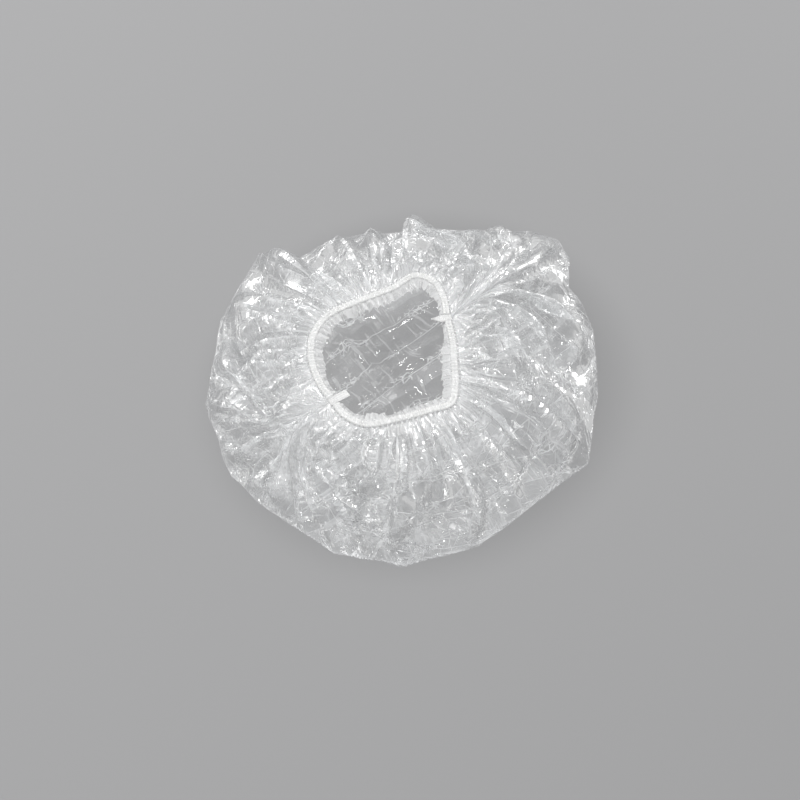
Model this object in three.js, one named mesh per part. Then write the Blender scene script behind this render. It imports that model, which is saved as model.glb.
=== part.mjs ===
// Clear disposable shower cap, opened and laid mouth up: a film bag gathered onto an elastic mouth.
// Millimetres, +Z up. X runs along the pleats from the left end seal to the right one, -Y is the front.
import * as THREE from 'three';

// Mouth band
const MOUTH_HEIGHT = 42; // middle of the band above the table
const MOUTH_TILT = 0.05; // rise of the band towards the back, per mm
const STRAND_DIAMETER = 2; // each rubber strand
const STRAND_GAP = 0.6; // between the two strands of a half
const HEM_WALL = 0.4; // hem film round the strands
const HEM_CLEARANCE = 0.3; // strands to the inside of the hem
const SEAT_GAP = 0.3; // between pieces that lie against each other

// Frill inside the mouth
const FRILL_WIDTH = 7; // from the hem to the free edge
const FRILL_WALL = 0.5;
const FRILL_FALL = 30; // hang of the frill under the band, in degrees
const RUFFLE_HEIGHT = 1.3; // each way at the free edge
const RUFFLE_PITCH = 6; // along the band
const FRILL_END_GAP = 1.5; // frill to the end seal, along the band

// End seals
const SEAL_WIDTH = 6; // along the band
const SEAL_GAP = 0.5; // hem and strand ends to the seal between them
const SEAL_THICKNESS = 1.6;
const TAB_LENGTH = 9; // free tab inside the mouth, past the hem
const CRIMP_PITCH = 1.5;
const CRIMP_DEPTH = 0.3;

// Film bag
const BAG_LENGTH = 322; // outer rim along the pleats
const BAG_WIDTH = 292; // outer rim across the pleats
const FILM_WALL = 0.8; // stand-in for a film of 0.02
const RIM_TURN = 1.6; // reach of the rounded rim, for each mm of its height
const PUFF_HEIGHT = 8; // swell of the film between the mouth and the rim
const SIDE_FALL = 1.5; // power of the side's fall from the mouth to the rim, 1 for a straight cone
const FOLD_RISE = 8; // main folds, from the lowest film between them to their ridges
const FOLD_LEVEL = 0.4; // share of that rise that lies under the swell
const FULL_FOLD_RUN = 60; // run of the rim between two folds past which the film sinks all the way
const FAN_RISE = 4; // of the pleats that fan out from each end seal
const FAN_SPREAD = 16; // half width of a fan, in degrees

// Seen from above: the two end seals and the band between them
const RIGHT_SEAL = [24.5, -7];
const LEFT_SEAL = [-81.5, -4];
const BACK_BAND = [[35, 8], [39.5, 23], [33, 36], [13, 38.5], [-14, 46.5], [-38, 51.5], [-56, 46], [-71, 31],
  [-79.5, 11]];
const FRONT_BAND = [[-83, -18], [-77, -32.5], [-57, -44.5], [-36, -54], [-23, -59], [-12, -52], [2, -37],
  [14, -23]];

// Corners of the outer rim, each at the end of a main fold, with their heights above the table;
// seen from above, their outline is drawn out to the bag's length and width
const RIM_CORNERS = [[161, 4, 10], [151, 27, 9], [87, 87, 9], [50, 112, 13], [22, 122, 19], [-10, 124, 18],
  [-28, 146, 24], [-86, 122, 14], [-138, 73, 9], [-161, 15, 8], [-160, -12, 8], [-147, -77, 8], [-118, -116, 8],
  [-72, -139, 8], [27, -146, 8], [70, -117, 9], [113, -75, 10], [127, -49, 10], [132, -34, 9], [154, -15, 10]];

// Fineness of the facets
const LOOP_SAMPLES = 720;
const BAND_STEPS = 40;
const STRAND_SIDES = 6;
const HEM_END_SIDES = 4;
const RUFFLE_STEPS = 4;
const SECTOR_TURN = 4; // degrees round the bag, at most
const SIDE_STATIONS = [0, 0.12, 0.28, 0.46, 0.64, 0.8, 0.92];

// Fits that follow from the dimensions
const STRAND_OFFSET = (STRAND_DIAMETER + STRAND_GAP) / 2;
const HEM_BORE_HALF_HEIGHT = STRAND_DIAMETER / 2 + HEM_CLEARANCE;
const HEM_HALF_HEIGHT = HEM_BORE_HALF_HEIGHT + HEM_WALL;
const HEM_HALF_WIDTH = STRAND_OFFSET + HEM_HALF_HEIGHT;
const BAND_END = SEAL_WIDTH / 2 + SEAL_GAP;
const FILM_EDGE_OFFSET = HEM_HALF_WIDTH + SEAT_GAP;

const UP = new THREE.Vector3(0, 0, 1);

function bandHeight(y) {
  return MOUTH_HEIGHT + MOUTH_TILT * (y - LEFT_SEAL[1]);
}

function onBand([x, y]) {
  return new THREE.Vector3(x, y, bandHeight(y));
}

// The whole mouth as one closed curve, from the right seal round the back to the left seal and home
const mouthCurve = new THREE.CatmullRomCurve3(
  [RIGHT_SEAL, ...BACK_BAND, LEFT_SEAL, ...FRONT_BAND].map(onBand), true, 'centripetal');
mouthCurve.arcLengthDivisions = LOOP_SAMPLES;
const mouthLength = mouthCurve.getLength();

// Level direction square to the band, pointing out of the mouth
function outwardAt(u) {
  return mouthCurve.getTangentAt(u).cross(UP).setZ(0).normalize();
}

// Share of the band's length at which the left seal sits
function leftSealShare() {
  const target = onBand(LEFT_SEAL);
  let best = 0;
  let nearest = Infinity;
  for (let i = 0; i < LOOP_SAMPLES; i++) {
    const distance = mouthCurve.getPointAt(i / LOOP_SAMPLES).distanceTo(target);
    if (distance < nearest) {
      nearest = distance;
      best = i / LOOP_SAMPLES;
    }
  }
  return best;
}

const LEFT_SHARE = leftSealShare();
const HALVES = {
  back: { from: 0, to: LEFT_SHARE },
  front: { from: LEFT_SHARE, to: 1 },
};

// Shares of the band's length along one half, kept clear of the end seals
function bandShares(half, endGap, steps) {
  const from = half.from + endGap / mouthLength;
  const to = half.to - endGap / mouthLength;
  return Array.from({ length: steps + 1 }, (_, i) => from + (to - from) * i / steps);
}

// Route of a piece along one half of the band, moved outwards by an offset
function bandRoute(half, offset) {
  const points = bandShares(half, BAND_END, BAND_STEPS).map(
    (u) => mouthCurve.getPointAt(u).addScaledVector(outwardAt(u), offset));
  return new THREE.CatmullRomCurve3(points, false, 'centripetal');
}

// A rubber strand: a round section along its half of the band
function strandGeometry(half, offset) {
  const section = new THREE.Shape();
  section.absarc(0, 0, STRAND_DIAMETER / 2, 0, 2 * Math.PI);
  return new THREE.ExtrudeGeometry(section, {
    steps: BAND_STEPS, curveSegments: STRAND_SIDES / 2, extrudePath: bandRoute(half, offset),
  });
}

// Two half rounds joined by straight sides, lying flat across the band
function drawFlatOval(path, halfHeight) {
  path.absarc(0, STRAND_OFFSET, halfHeight, 0, Math.PI);
  path.absarc(0, -STRAND_OFFSET, halfHeight, Math.PI, 2 * Math.PI);
  path.closePath();
  return path;
}

// A hem: the film sleeve that both strands of a half lie in, open at its ends
function hemGeometry(half) {
  const section = drawFlatOval(new THREE.Shape(), HEM_HALF_HEIGHT);
  section.holes.push(drawFlatOval(new THREE.Path(), HEM_BORE_HALF_HEIGHT));
  return new THREE.ExtrudeGeometry(section, {
    steps: BAND_STEPS, curveSegments: HEM_END_SIDES / 2, extrudePath: bandRoute(half, 0),
  });
}

// Closed skin over a list of rings that all have the same number of points
function skinRings(rings) {
  const count = rings[0].length;
  const positions = rings.flat().flatMap((p) => [p.x, p.y, p.z]);
  const triangles = [];
  for (let r = 0; r + 1 < rings.length; r++) {
    for (let i = 0; i < count; i++) {
      const j = (i + 1) % count;
      const [a, b, c, d] = [r * count + i, r * count + j, (r + 1) * count + j, (r + 1) * count + i];
      triangles.push(a, b, c, a, c, d);
    }
  }
  return { positions, triangles, count };
}

function toGeometry({ positions, triangles }) {
  const geometry = new THREE.BufferGeometry();
  geometry.setAttribute('position', new THREE.Float32BufferAttribute(positions, 3));
  geometry.setIndex(triangles);
  geometry.computeVertexNormals();
  return geometry;
}

// A frill: a ruffled ribbon that hangs inwards and down from the hem
function frillGeometry(half) {
  const slope = THREE.MathUtils.degToRad(FRILL_FALL);
  const halfLength = (half.to - half.from) * mouthLength;
  const ruffles = Math.round(halfLength / RUFFLE_PITCH);
  const endGap = SEAL_WIDTH / 2 + FRILL_END_GAP;
  const shares = bandShares(half, endGap, ruffles * RUFFLE_STEPS);
  const rings = shares.map((u, step) => {
    const root = mouthCurve.getPointAt(u);
    const inward = outwardAt(u).negate();
    const wave = Math.sin(2 * Math.PI * step / RUFFLE_STEPS);
    const across = [0, 0.5, 1].map((w) => root.clone()
      .addScaledVector(inward, FILM_EDGE_OFFSET + w * FRILL_WIDTH * Math.cos(slope))
      .addScaledVector(UP, w * (RUFFLE_HEIGHT * wave - FRILL_WIDTH * Math.sin(slope))));
    const top = across.map((p) => p.clone().addScaledVector(UP, FRILL_WALL / 2));
    const bottom = across.map((p) => p.clone().addScaledVector(UP, -FRILL_WALL / 2));
    return [...bottom, ...top.reverse()];
  });
  const skin = skinRings(rings);
  const last = (rings.length - 1) * skin.count;
  const cap = [[0, 1, 4], [0, 4, 5], [1, 2, 3], [1, 3, 4]];
  for (const [a, b, c] of cap) {
    skin.triangles.push(c, b, a, last + a, last + b, last + c);
  }
  return toGeometry(skin);
}

// An end seal: a crimped tab across the band, ribbed on both faces, its free end inside the mouth
function sealGeometry() {
  const outer = -HEM_HALF_WIDTH;
  const inner = HEM_HALF_WIDTH + TAB_LENGTH;
  const crimps = Math.round((inner - outer) / CRIMP_PITCH);
  const pitch = (inner - outer) / crimps;
  const half = SEAL_THICKNESS / 2;
  const edge = [];
  for (let i = 0; i < crimps; i++) {
    edge.push([outer + i * pitch, half - CRIMP_DEPTH], [outer + (i + 0.5) * pitch, half]);
  }
  edge.push([inner, half - CRIMP_DEPTH]);
  const outline = [...edge, ...edge.map(([x, z]) => [x, -z]).reverse()];
  const section = new THREE.Shape(outline.map(([x, z]) => new THREE.Vector2(x, z)));
  const geometry = new THREE.ExtrudeGeometry(section, { depth: SEAL_WIDTH, bevelEnabled: false, steps: 1 });
  return geometry.translate(0, 0, -SEAL_WIDTH / 2).rotateX(Math.PI / 2);
}

// Plan radius of a closed loop of points at an angle round the middle of the mouth
function loopRadius(points, middle) {
  const polar = points.map((p) => ({
    angle: Math.atan2(p.y - middle.y, p.x - middle.x),
    radius: Math.hypot(p.x - middle.x, p.y - middle.y),
  })).sort((a, b) => a.angle - b.angle);
  const first = { ...polar[0], angle: polar[0].angle + 2 * Math.PI };
  const last = { ...polar.at(-1), angle: polar.at(-1).angle - 2 * Math.PI };
  const ring = [last, ...polar, first];
  return (angle) => {
    const wrapped = Math.atan2(Math.sin(angle), Math.cos(angle));
    const k = ring.findIndex((p) => p.angle > wrapped);
    const [a, b] = [ring[k - 1], ring[k]];
    return THREE.MathUtils.mapLinear(wrapped, a.angle, b.angle, a.radius, b.radius);
  };
}

const bandShareList = Array.from({ length: LOOP_SAMPLES }, (_, i) => i / LOOP_SAMPLES);
const filmEdge = bandShareList.map(
  (u) => mouthCurve.getPointAt(u).addScaledVector(outwardAt(u), FILM_EDGE_OFFSET));

const mouthBox = new THREE.Box3().setFromPoints(filmEdge);
const mouthMiddle = mouthBox.getCenter(new THREE.Vector3());
const edgeRadius = loopRadius(filmEdge, mouthMiddle);

function planAngle(p) {
  return Math.atan2(p.y - mouthMiddle.y, p.x - mouthMiddle.x);
}

function rimCorners() {
  const corners = RIM_CORNERS.map((place) => new THREE.Vector3(...place));
  const drawn = new THREE.Box3().setFromPoints(corners).getSize(new THREE.Vector3());
  const stretch = new THREE.Vector3(BAG_LENGTH / drawn.x, BAG_WIDTH / drawn.y, 1);
  return corners.map((corner) => corner.multiply(stretch));
}

// Where the bag has a section: at the rim's corners, and in even steps along the straight runs between them.
// The fold is 1 on a ridge and least halfway between two of them.
function rimSections() {
  const corners = rimCorners();
  return corners.flatMap((corner, i) => {
    const next = corners[(i + 1) % corners.length];
    const turn = THREE.MathUtils.euclideanModulo(planAngle(next) - planAngle(corner), 2 * Math.PI);
    const steps = 2 * Math.ceil(THREE.MathUtils.radToDeg(turn) / (2 * SECTOR_TURN));
    const run = Math.hypot(next.x - corner.x, next.y - corner.y);
    const depth = Math.min(run / FULL_FOLD_RUN, 1);
    return Array.from({ length: steps }, (_, k) => {
      const rim = corner.clone().lerp(next, k / steps);
      const fold = 1 - depth * (1 - Math.abs(2 * k / steps - 1));
      return { angle: planAngle(rim), radius: rim.setZ(mouthMiddle.z).distanceTo(mouthMiddle), fold,
        height: THREE.MathUtils.lerp(corner.z, next.z, k / steps) };
    });
  });
}

// How far an angle lies inside the pleats that fan out from the end seals, from 0 to 1
function fanShare(angle) {
  const spread = THREE.MathUtils.degToRad(FAN_SPREAD);
  return [LEFT_SEAL, RIGHT_SEAL].reduce((share, [x, y]) => {
    const turn = angle - Math.atan2(y - mouthMiddle.y, x - mouthMiddle.x);
    const away = Math.atan2(Math.sin(turn), Math.cos(turn)) / spread;
    return share + Math.exp(-away * away);
  }, 0);
}

// Outer profile of the bag at one section, as radius and height from the mouth edge to the flat underside
function bagProfile(section) {
  const inner = edgeRadius(section.angle);
  const edgeHeight = bandHeight(mouthMiddle.y + inner * Math.sin(section.angle)) + FILM_WALL / 2;
  const rise = PUFF_HEIGHT + FAN_RISE * fanShare(section.angle) + FOLD_RISE * (section.fold - FOLD_LEVEL);
  const side = SIDE_STATIONS.map((w) => {
    const fall = (edgeHeight - section.height) * (1 - w ** SIDE_FALL);
    const radius = THREE.MathUtils.lerp(inner, section.radius, w);
    return new THREE.Vector2(radius, section.height + fall + rise * Math.sin(Math.PI * w));
  });
  const turn = [0, Math.PI / 4, Math.PI / 2].map((a) => new THREE.Vector2(
    section.radius - RIM_TURN * section.height * (1 - Math.cos(a)), section.height * (1 - Math.sin(a))));
  return [...side, ...turn];
}

// The same profile moved into the bag by the film's wall
function innerProfile(profile) {
  const last = profile.length - 1;
  return profile.map((p, i) => {
    if (i === 0) {
      return new THREE.Vector2(p.x, p.y - FILM_WALL);
    }
    if (i === last) {
      return new THREE.Vector2(p.x, p.y + FILM_WALL);
    }
    const along = profile[i + 1].clone().sub(profile[i - 1]).normalize();
    return new THREE.Vector2(p.x + along.y * FILM_WALL, p.y - along.x * FILM_WALL);
  });
}

// The film: a hollow bag, flat underneath, open at the mouth
function filmGeometry() {
  const outerRows = [];
  const innerRows = [];
  for (const section of rimSections()) {
    const place = (p) => new THREE.Vector3(
      mouthMiddle.x + p.x * Math.cos(section.angle), mouthMiddle.y + p.x * Math.sin(section.angle), p.y);
    const profile = bagProfile(section);
    outerRows.push(profile.map(place));
    innerRows.push(innerProfile(profile).map(place));
  }
  const stations = outerRows[0].length;
  const ringsOf = (rows) => Array.from({ length: stations }, (_, s) => rows.map((row) => row[s]));
  const skin = skinRings([...ringsOf(outerRows).reverse(), ...ringsOf(innerRows)]);
  const lastRing = (2 * stations - 1) * skin.count;
  const underside = skin.positions.length / 3;
  skin.positions.push(mouthMiddle.x, mouthMiddle.y, 0, mouthMiddle.x, mouthMiddle.y, FILM_WALL);
  for (let i = 0; i < skin.count; i++) {
    const j = (i + 1) % skin.count;
    skin.triangles.push(underside, j, i, underside + 1, lastRing + i, lastRing + j);
  }
  return toGeometry(skin);
}

// Materials: clear film, white elastic, milky sealed film
function clearFilm() {
  return new THREE.MeshStandardMaterial({
    color: 0xeef1f3, roughness: 0.15, metalness: 0, transparent: true, opacity: 0.35,
  });
}

function milkyFilm() {
  return new THREE.MeshStandardMaterial({
    color: 0xf4f5f4, roughness: 0.3, metalness: 0, transparent: true, opacity: 0.7,
  });
}

function whiteRubber() {
  return new THREE.MeshStandardMaterial({ color: 0xf7f6f2, roughness: 0.6, metalness: 0 });
}

function addMesh(parent, name, geometry, material) {
  const mesh = new THREE.Mesh(geometry, material);
  mesh.name = name;
  parent.add(mesh);
  return mesh;
}

const cap = new THREE.Group();
addMesh(cap, 'crown_film', filmGeometry(), clearFilm());
for (const [side, half] of Object.entries(HALVES)) {
  addMesh(cap, `${side}_hem`, hemGeometry(half), clearFilm());
  addMesh(cap, `${side}_inner_strand`, strandGeometry(half, -STRAND_OFFSET), whiteRubber());
  addMesh(cap, `${side}_outer_strand`, strandGeometry(half, STRAND_OFFSET), whiteRubber());
  addMesh(cap, `${side}_frill`, frillGeometry(half), milkyFilm());
}
for (const [side, u] of [['left', LEFT_SHARE], ['right', 0]]) {
  const outward = outwardAt(u);
  const seal = addMesh(cap, `${side}_end_seal`, sealGeometry(), milkyFilm());
  seal.position.copy(mouthCurve.getPointAt(u));
  seal.rotation.z = Math.atan2(-outward.y, -outward.x);
}

export default cap;
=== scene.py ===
"""Looks of a clear shower cap that lies open, mouth up: a film bag gathered onto an elastic band."""
import logging
import math
from dataclasses import dataclass, field
from enum import Enum
from typing import NamedTuple

import bpy
import numpy as np
from mathutils import Matrix, Vector


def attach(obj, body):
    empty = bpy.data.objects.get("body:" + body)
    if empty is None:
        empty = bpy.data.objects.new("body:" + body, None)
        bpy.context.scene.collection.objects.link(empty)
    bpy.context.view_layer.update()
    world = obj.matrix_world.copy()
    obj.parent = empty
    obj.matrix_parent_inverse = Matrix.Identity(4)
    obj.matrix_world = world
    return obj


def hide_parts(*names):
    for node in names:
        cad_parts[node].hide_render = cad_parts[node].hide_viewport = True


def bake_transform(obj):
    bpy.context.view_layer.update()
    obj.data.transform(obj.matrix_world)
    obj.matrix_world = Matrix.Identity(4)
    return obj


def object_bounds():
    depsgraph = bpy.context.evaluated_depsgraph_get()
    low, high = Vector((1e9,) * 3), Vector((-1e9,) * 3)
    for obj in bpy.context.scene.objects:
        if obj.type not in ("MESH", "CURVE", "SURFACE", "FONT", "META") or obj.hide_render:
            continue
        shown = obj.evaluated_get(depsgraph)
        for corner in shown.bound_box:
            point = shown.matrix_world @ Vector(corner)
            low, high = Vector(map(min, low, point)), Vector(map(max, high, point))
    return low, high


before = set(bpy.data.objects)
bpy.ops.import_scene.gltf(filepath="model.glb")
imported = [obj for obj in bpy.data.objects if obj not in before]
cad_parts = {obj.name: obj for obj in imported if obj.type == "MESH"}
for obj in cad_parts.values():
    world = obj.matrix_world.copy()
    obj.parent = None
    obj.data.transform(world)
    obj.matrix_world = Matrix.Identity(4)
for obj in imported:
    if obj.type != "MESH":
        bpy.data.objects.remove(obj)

CAD_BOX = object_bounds()
LOG = logging.getLogger("shower_cap")

Socket = bpy.types.NodeSocket
Pair = tuple[float, float]
Triple = tuple[float, float, float]
Colour = tuple[float, float, float, float]

END_SEALS = "end_seals"
SHEET_UV = "sheet"
GATHER = "gather"
CREASE = "crease"
FLOOR = "floor"
MM = 0.001
TABLE_GAP = 0.0003
HALF_EACH = (0.5, 0.5, 0.5)
NEVER_ZERO = 1e-15
SHORTEST = 1e-9


class Half(Enum):
    """The two halves of the mouth, each between the end seals."""

    BACK = "back"
    FRONT = "front"


class Side(Enum):
    """The two ends of the cap, where its pleats are sealed together."""

    LEFT = "left"
    RIGHT = "right"


class Ramp(NamedTuple):
    """A smooth change of a result from start to end, while a value goes from low to high."""

    low: float
    high: float
    start: float
    end: float


class Hairs(NamedTuple):
    """Straight lines across the film: their angle, and how close they lie across and along it."""

    turn: float
    scale: Triple


class Crumple(NamedTuple):
    """Random flat triangles in the film: width, height, direction in degrees and length for each width."""

    pitch: float
    rise: float
    turn: float
    aspect: float


class Fade(NamedTuple):
    """A share of the gathered look: its strength, and the distance over which it fades."""

    strength: float
    reach: float


class Drift(NamedTuple):
    """A smooth random change along a line: its size, and the distance between its random values."""

    size: float
    pitch: float


def ease(x: np.ndarray, low: float, high: float) -> np.ndarray:
    """Smooth step.

    Args:
        x: values to ease.
        low: value that gives 0, a number or an array.
        high: value that gives 1.

    Returns:
        The eased values, from 0 to 1.
    """
    t = np.clip((x - low) / (high - low), 0.0, 1.0)
    return t * t * (3.0 - 2.0 * t)


def wander(rng: np.random.Generator, lengths: np.ndarray, pitch: float) -> np.ndarray:
    """Smooth random curve along a line.

    Args:
        rng: seeded random source.
        lengths: rising distances along the line.
        pitch: distance between its random values.

    Returns:
        Values about zero, one for each distance.
    """
    span = (lengths - lengths[0]) / pitch
    knots = rng.normal(0.0, 1.0, int(span[-1]) + 3)
    k = np.floor(span).astype(int)
    return knots[k] + (knots[k + 1] - knots[k]) * ease(span - k, 0.0, 1.0)


def drifting(rng: np.random.Generator, lengths: np.ndarray, drift: Drift) -> np.ndarray:
    """Smooth random change along a line, of a given size and pitch."""
    return drift.size * wander(rng, lengths, drift.pitch)


def smooth_loop(corners: np.ndarray, per_span: int) -> np.ndarray:
    """Closed centripetal spline.

    Args:
        corners: points that the loop passes through.
        per_span: points made between two corners.

    Returns:
        The points of the loop, in order.
    """
    count = len(corners)
    spans = []
    for k in range(count):
        p0, p1, p2, p3 = (corners[(k + j) % count] for j in (-1, 0, 1, 2))
        d0, d1, d2 = (np.linalg.norm(b - a) ** 0.5 for a, b in ((p0, p1), (p1, p2), (p2, p3)))
        m1 = ((p1 - p0) / d0 - (p2 - p0) / (d0 + d1) + (p2 - p1) / d1) * d1
        m2 = ((p2 - p1) / d1 - (p3 - p1) / (d1 + d2) + (p3 - p2) / d2) * d1
        t = np.linspace(0.0, 1.0, per_span, endpoint=False)[:, None]
        square = -3.0 * p1 + 3.0 * p2 - 2.0 * m1 - m2
        cube = 2.0 * p1 - 2.0 * p2 + m1 + m2
        spans.append(p1 + m1 * t + square * t ** 2 + cube * t ** 3)
    return np.vstack(spans)


def deselect_all() -> None:
    """Leaves object mode with nothing selected."""
    if bpy.context.object is not None and bpy.context.object.mode != "OBJECT":
        bpy.ops.object.mode_set(mode="OBJECT")
    bpy.ops.object.select_all(action="DESELECT")


def select_only(piece: bpy.types.Object) -> None:
    """Makes a piece the only selected and active object."""
    deselect_all()
    piece.select_set(True)
    bpy.context.view_layer.objects.active = piece


def strip_piece(name: str, points: np.ndarray, flat: np.ndarray, closed: bool = False) -> bpy.types.Object:
    """Piece made from a grid of points.

    Args:
        name: name of the piece.
        points: places of the grid, rows by columns by 3.
        flat: places of the same points on the flat film, rows by columns by 2.
        closed: whether the last column joins the first.

    Returns:
        The piece, smooth shaded, with its flat places as a UV map.
    """
    rows, columns = points.shape[:2]
    index = np.arange(rows * columns).reshape(rows, columns)
    if closed:
        index = np.hstack([index, index[:, :1]])
    quads = np.stack([index[:-1, :-1], index[1:, :-1], index[1:, 1:], index[:-1, 1:]], axis=-1)
    mesh = bpy.data.meshes.new(name)
    mesh.from_pydata(points.reshape(-1, 3).tolist(), [], quads.reshape(-1, 4).tolist())
    mesh.polygons.foreach_set("use_smooth", np.ones(len(mesh.polygons), dtype=bool))
    layer = mesh.uv_layers.new(name=SHEET_UV)
    corner = np.empty(len(mesh.loops), np.int32)
    mesh.loops.foreach_get("vertex_index", corner)
    layer.data.foreach_set("uv", flat.reshape(-1, 2)[corner].astype(np.float32).ravel())
    mesh.update()
    piece = bpy.data.objects.new(name, mesh)
    bpy.context.scene.collection.objects.link(piece)
    return piece


def let_light_through(piece: bpy.types.Object) -> None:
    """Keeps a thin film from dimming what lies under it."""
    piece.visible_shadow = False
    piece.visible_diffuse = False


def set_point_values(piece: bpy.types.Object, name: str, values: np.ndarray) -> None:
    """Stores one number for each point of a piece under a name."""
    attribute = piece.data.attributes.new(name, "FLOAT", "POINT")
    attribute.data.foreach_set("value", values.reshape(-1).astype(np.float32))


class NodeBoard:
    """A material's node tree, with short calls that add and join nodes."""

    def __init__(self, name: str) -> None:
        """Starts an empty material."""
        self.material = bpy.data.materials.new(name)
        self.material.use_nodes = True
        self.tree = self.material.node_tree
        self.tree.nodes.clear()

    def add(self, kind: str, inputs: dict | None = None, **settings: object) -> bpy.types.Node:
        """Adds a node.

        Args:
            kind: node type without its ShaderNode prefix.
            inputs: values or sockets by input name or number.
            settings: node properties.

        Returns:
            The node.
        """
        made = self.tree.nodes.new(f"ShaderNode{kind}")
        for key, value in settings.items():
            setattr(made, key, value)
        for key, value in (inputs or {}).items():
            if isinstance(value, Socket):
                self.tree.links.new(value, made.inputs[key])
            else:
                made.inputs[key].default_value = value
        return made

    def math(self, operation: str, a: object, b: object = 0.0, clamp: bool = False) -> Socket:
        """Result of a Math node on two values or sockets."""
        return self.add("Math", {0: a, 1: b}, operation=operation, use_clamp=clamp).outputs[0]

    def times(self, a: object, b: object) -> Socket:
        """Product of two values or sockets."""
        return self.math("MULTIPLY", a, b)

    def most(self, a: object, b: object) -> Socket:
        """Larger of two values or sockets."""
        return self.math("MAXIMUM", a, b)

    def vector(self, operation: str, a: object, b: object = (0.0, 0.0, 0.0)) -> Socket:
        """Result of a Vector Math node on two values or sockets."""
        return self.add("VectorMath", {0: a, 1: b}, operation=operation).outputs[0]

    def scaled(self, vector: object, factor: object) -> Socket:
        """A vector times a number."""
        return self.add("VectorMath", {0: vector, "Scale": factor}, operation="SCALE").outputs[0]

    def length(self, vector: object) -> Socket:
        """Length of a vector."""
        return self.add("VectorMath", {0: vector}, operation="LENGTH").outputs["Value"]

    def stretched(self, vector: object, scale: Triple, turn: float = 0.0) -> Socket:
        """A vector, turned and stretched."""
        spread = {"Vector": vector, "Rotation": (0.0, 0.0, turn), "Scale": scale}
        return self.add("Mapping", spread).outputs[0]

    def noise(self, vector: object, scale: float, detail: float, output: str = "Fac") -> Socket:
        """Noise texture."""
        return self.add("TexNoise", {"Vector": vector, "Scale": scale, "Detail": detail}).outputs[output]

    def stored(self, name: str) -> Socket:
        """Numbers that a piece holds under a name."""
        return self.add("Attribute", attribute_name=name).outputs["Fac"]

    def ramp(self, value: object, change: Ramp) -> Socket:
        """Smooth change between two values."""
        inputs = {"Value": value, "From Min": change.low, "From Max": change.high,
                  "To Min": change.start, "To Max": change.end}
        return self.add("MapRange", inputs, interpolation_type="SMOOTHSTEP").outputs["Result"]

    def bump(self, height: object, relief: Pair, **normal: Socket) -> Socket:
        """Normal of a surface with a relief of some depth and strength, on another normal if given."""
        depth, strength = relief
        inputs = {"Height": height, "Distance": depth, "Strength": strength, **normal}
        return self.add("Bump", inputs).outputs[0]

    def blend(self, share: object, a: Socket, b: Socket) -> Socket:
        """Mix of two shaders."""
        return self.add("MixShader", {0: share, 1: a, 2: b}).outputs[0]

    def done(self, shader: Socket) -> bpy.types.Material:
        """Joins a shader to the output and gives the material."""
        self.add("OutputMaterial", {"Surface": shader})
        return self.material


@dataclass(frozen=True)
class FilmMap:
    """Sockets that the parts of a film's material share.

    Attributes:
        board: node tree that they belong to.
        flat: places on the flat film.
        bent: slightly warped places on the flat film.
        grain: coordinates of the facets.
        along: distance along the sheet.
        across: distance across the sheet.
        turns: distance to the next pleat.
        patch: slow noise, for zones that differ.
        broken: noise that breaks lines.
        gather: how densely the film is gathered.
        floor: share of the bag's floor.
    """

    board: NodeBoard
    flat: Socket
    bent: Socket
    grain: Socket
    along: Socket
    across: Socket
    turns: Socket
    patch: Socket
    broken: Socket
    gather: Socket
    floor: Socket


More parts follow.
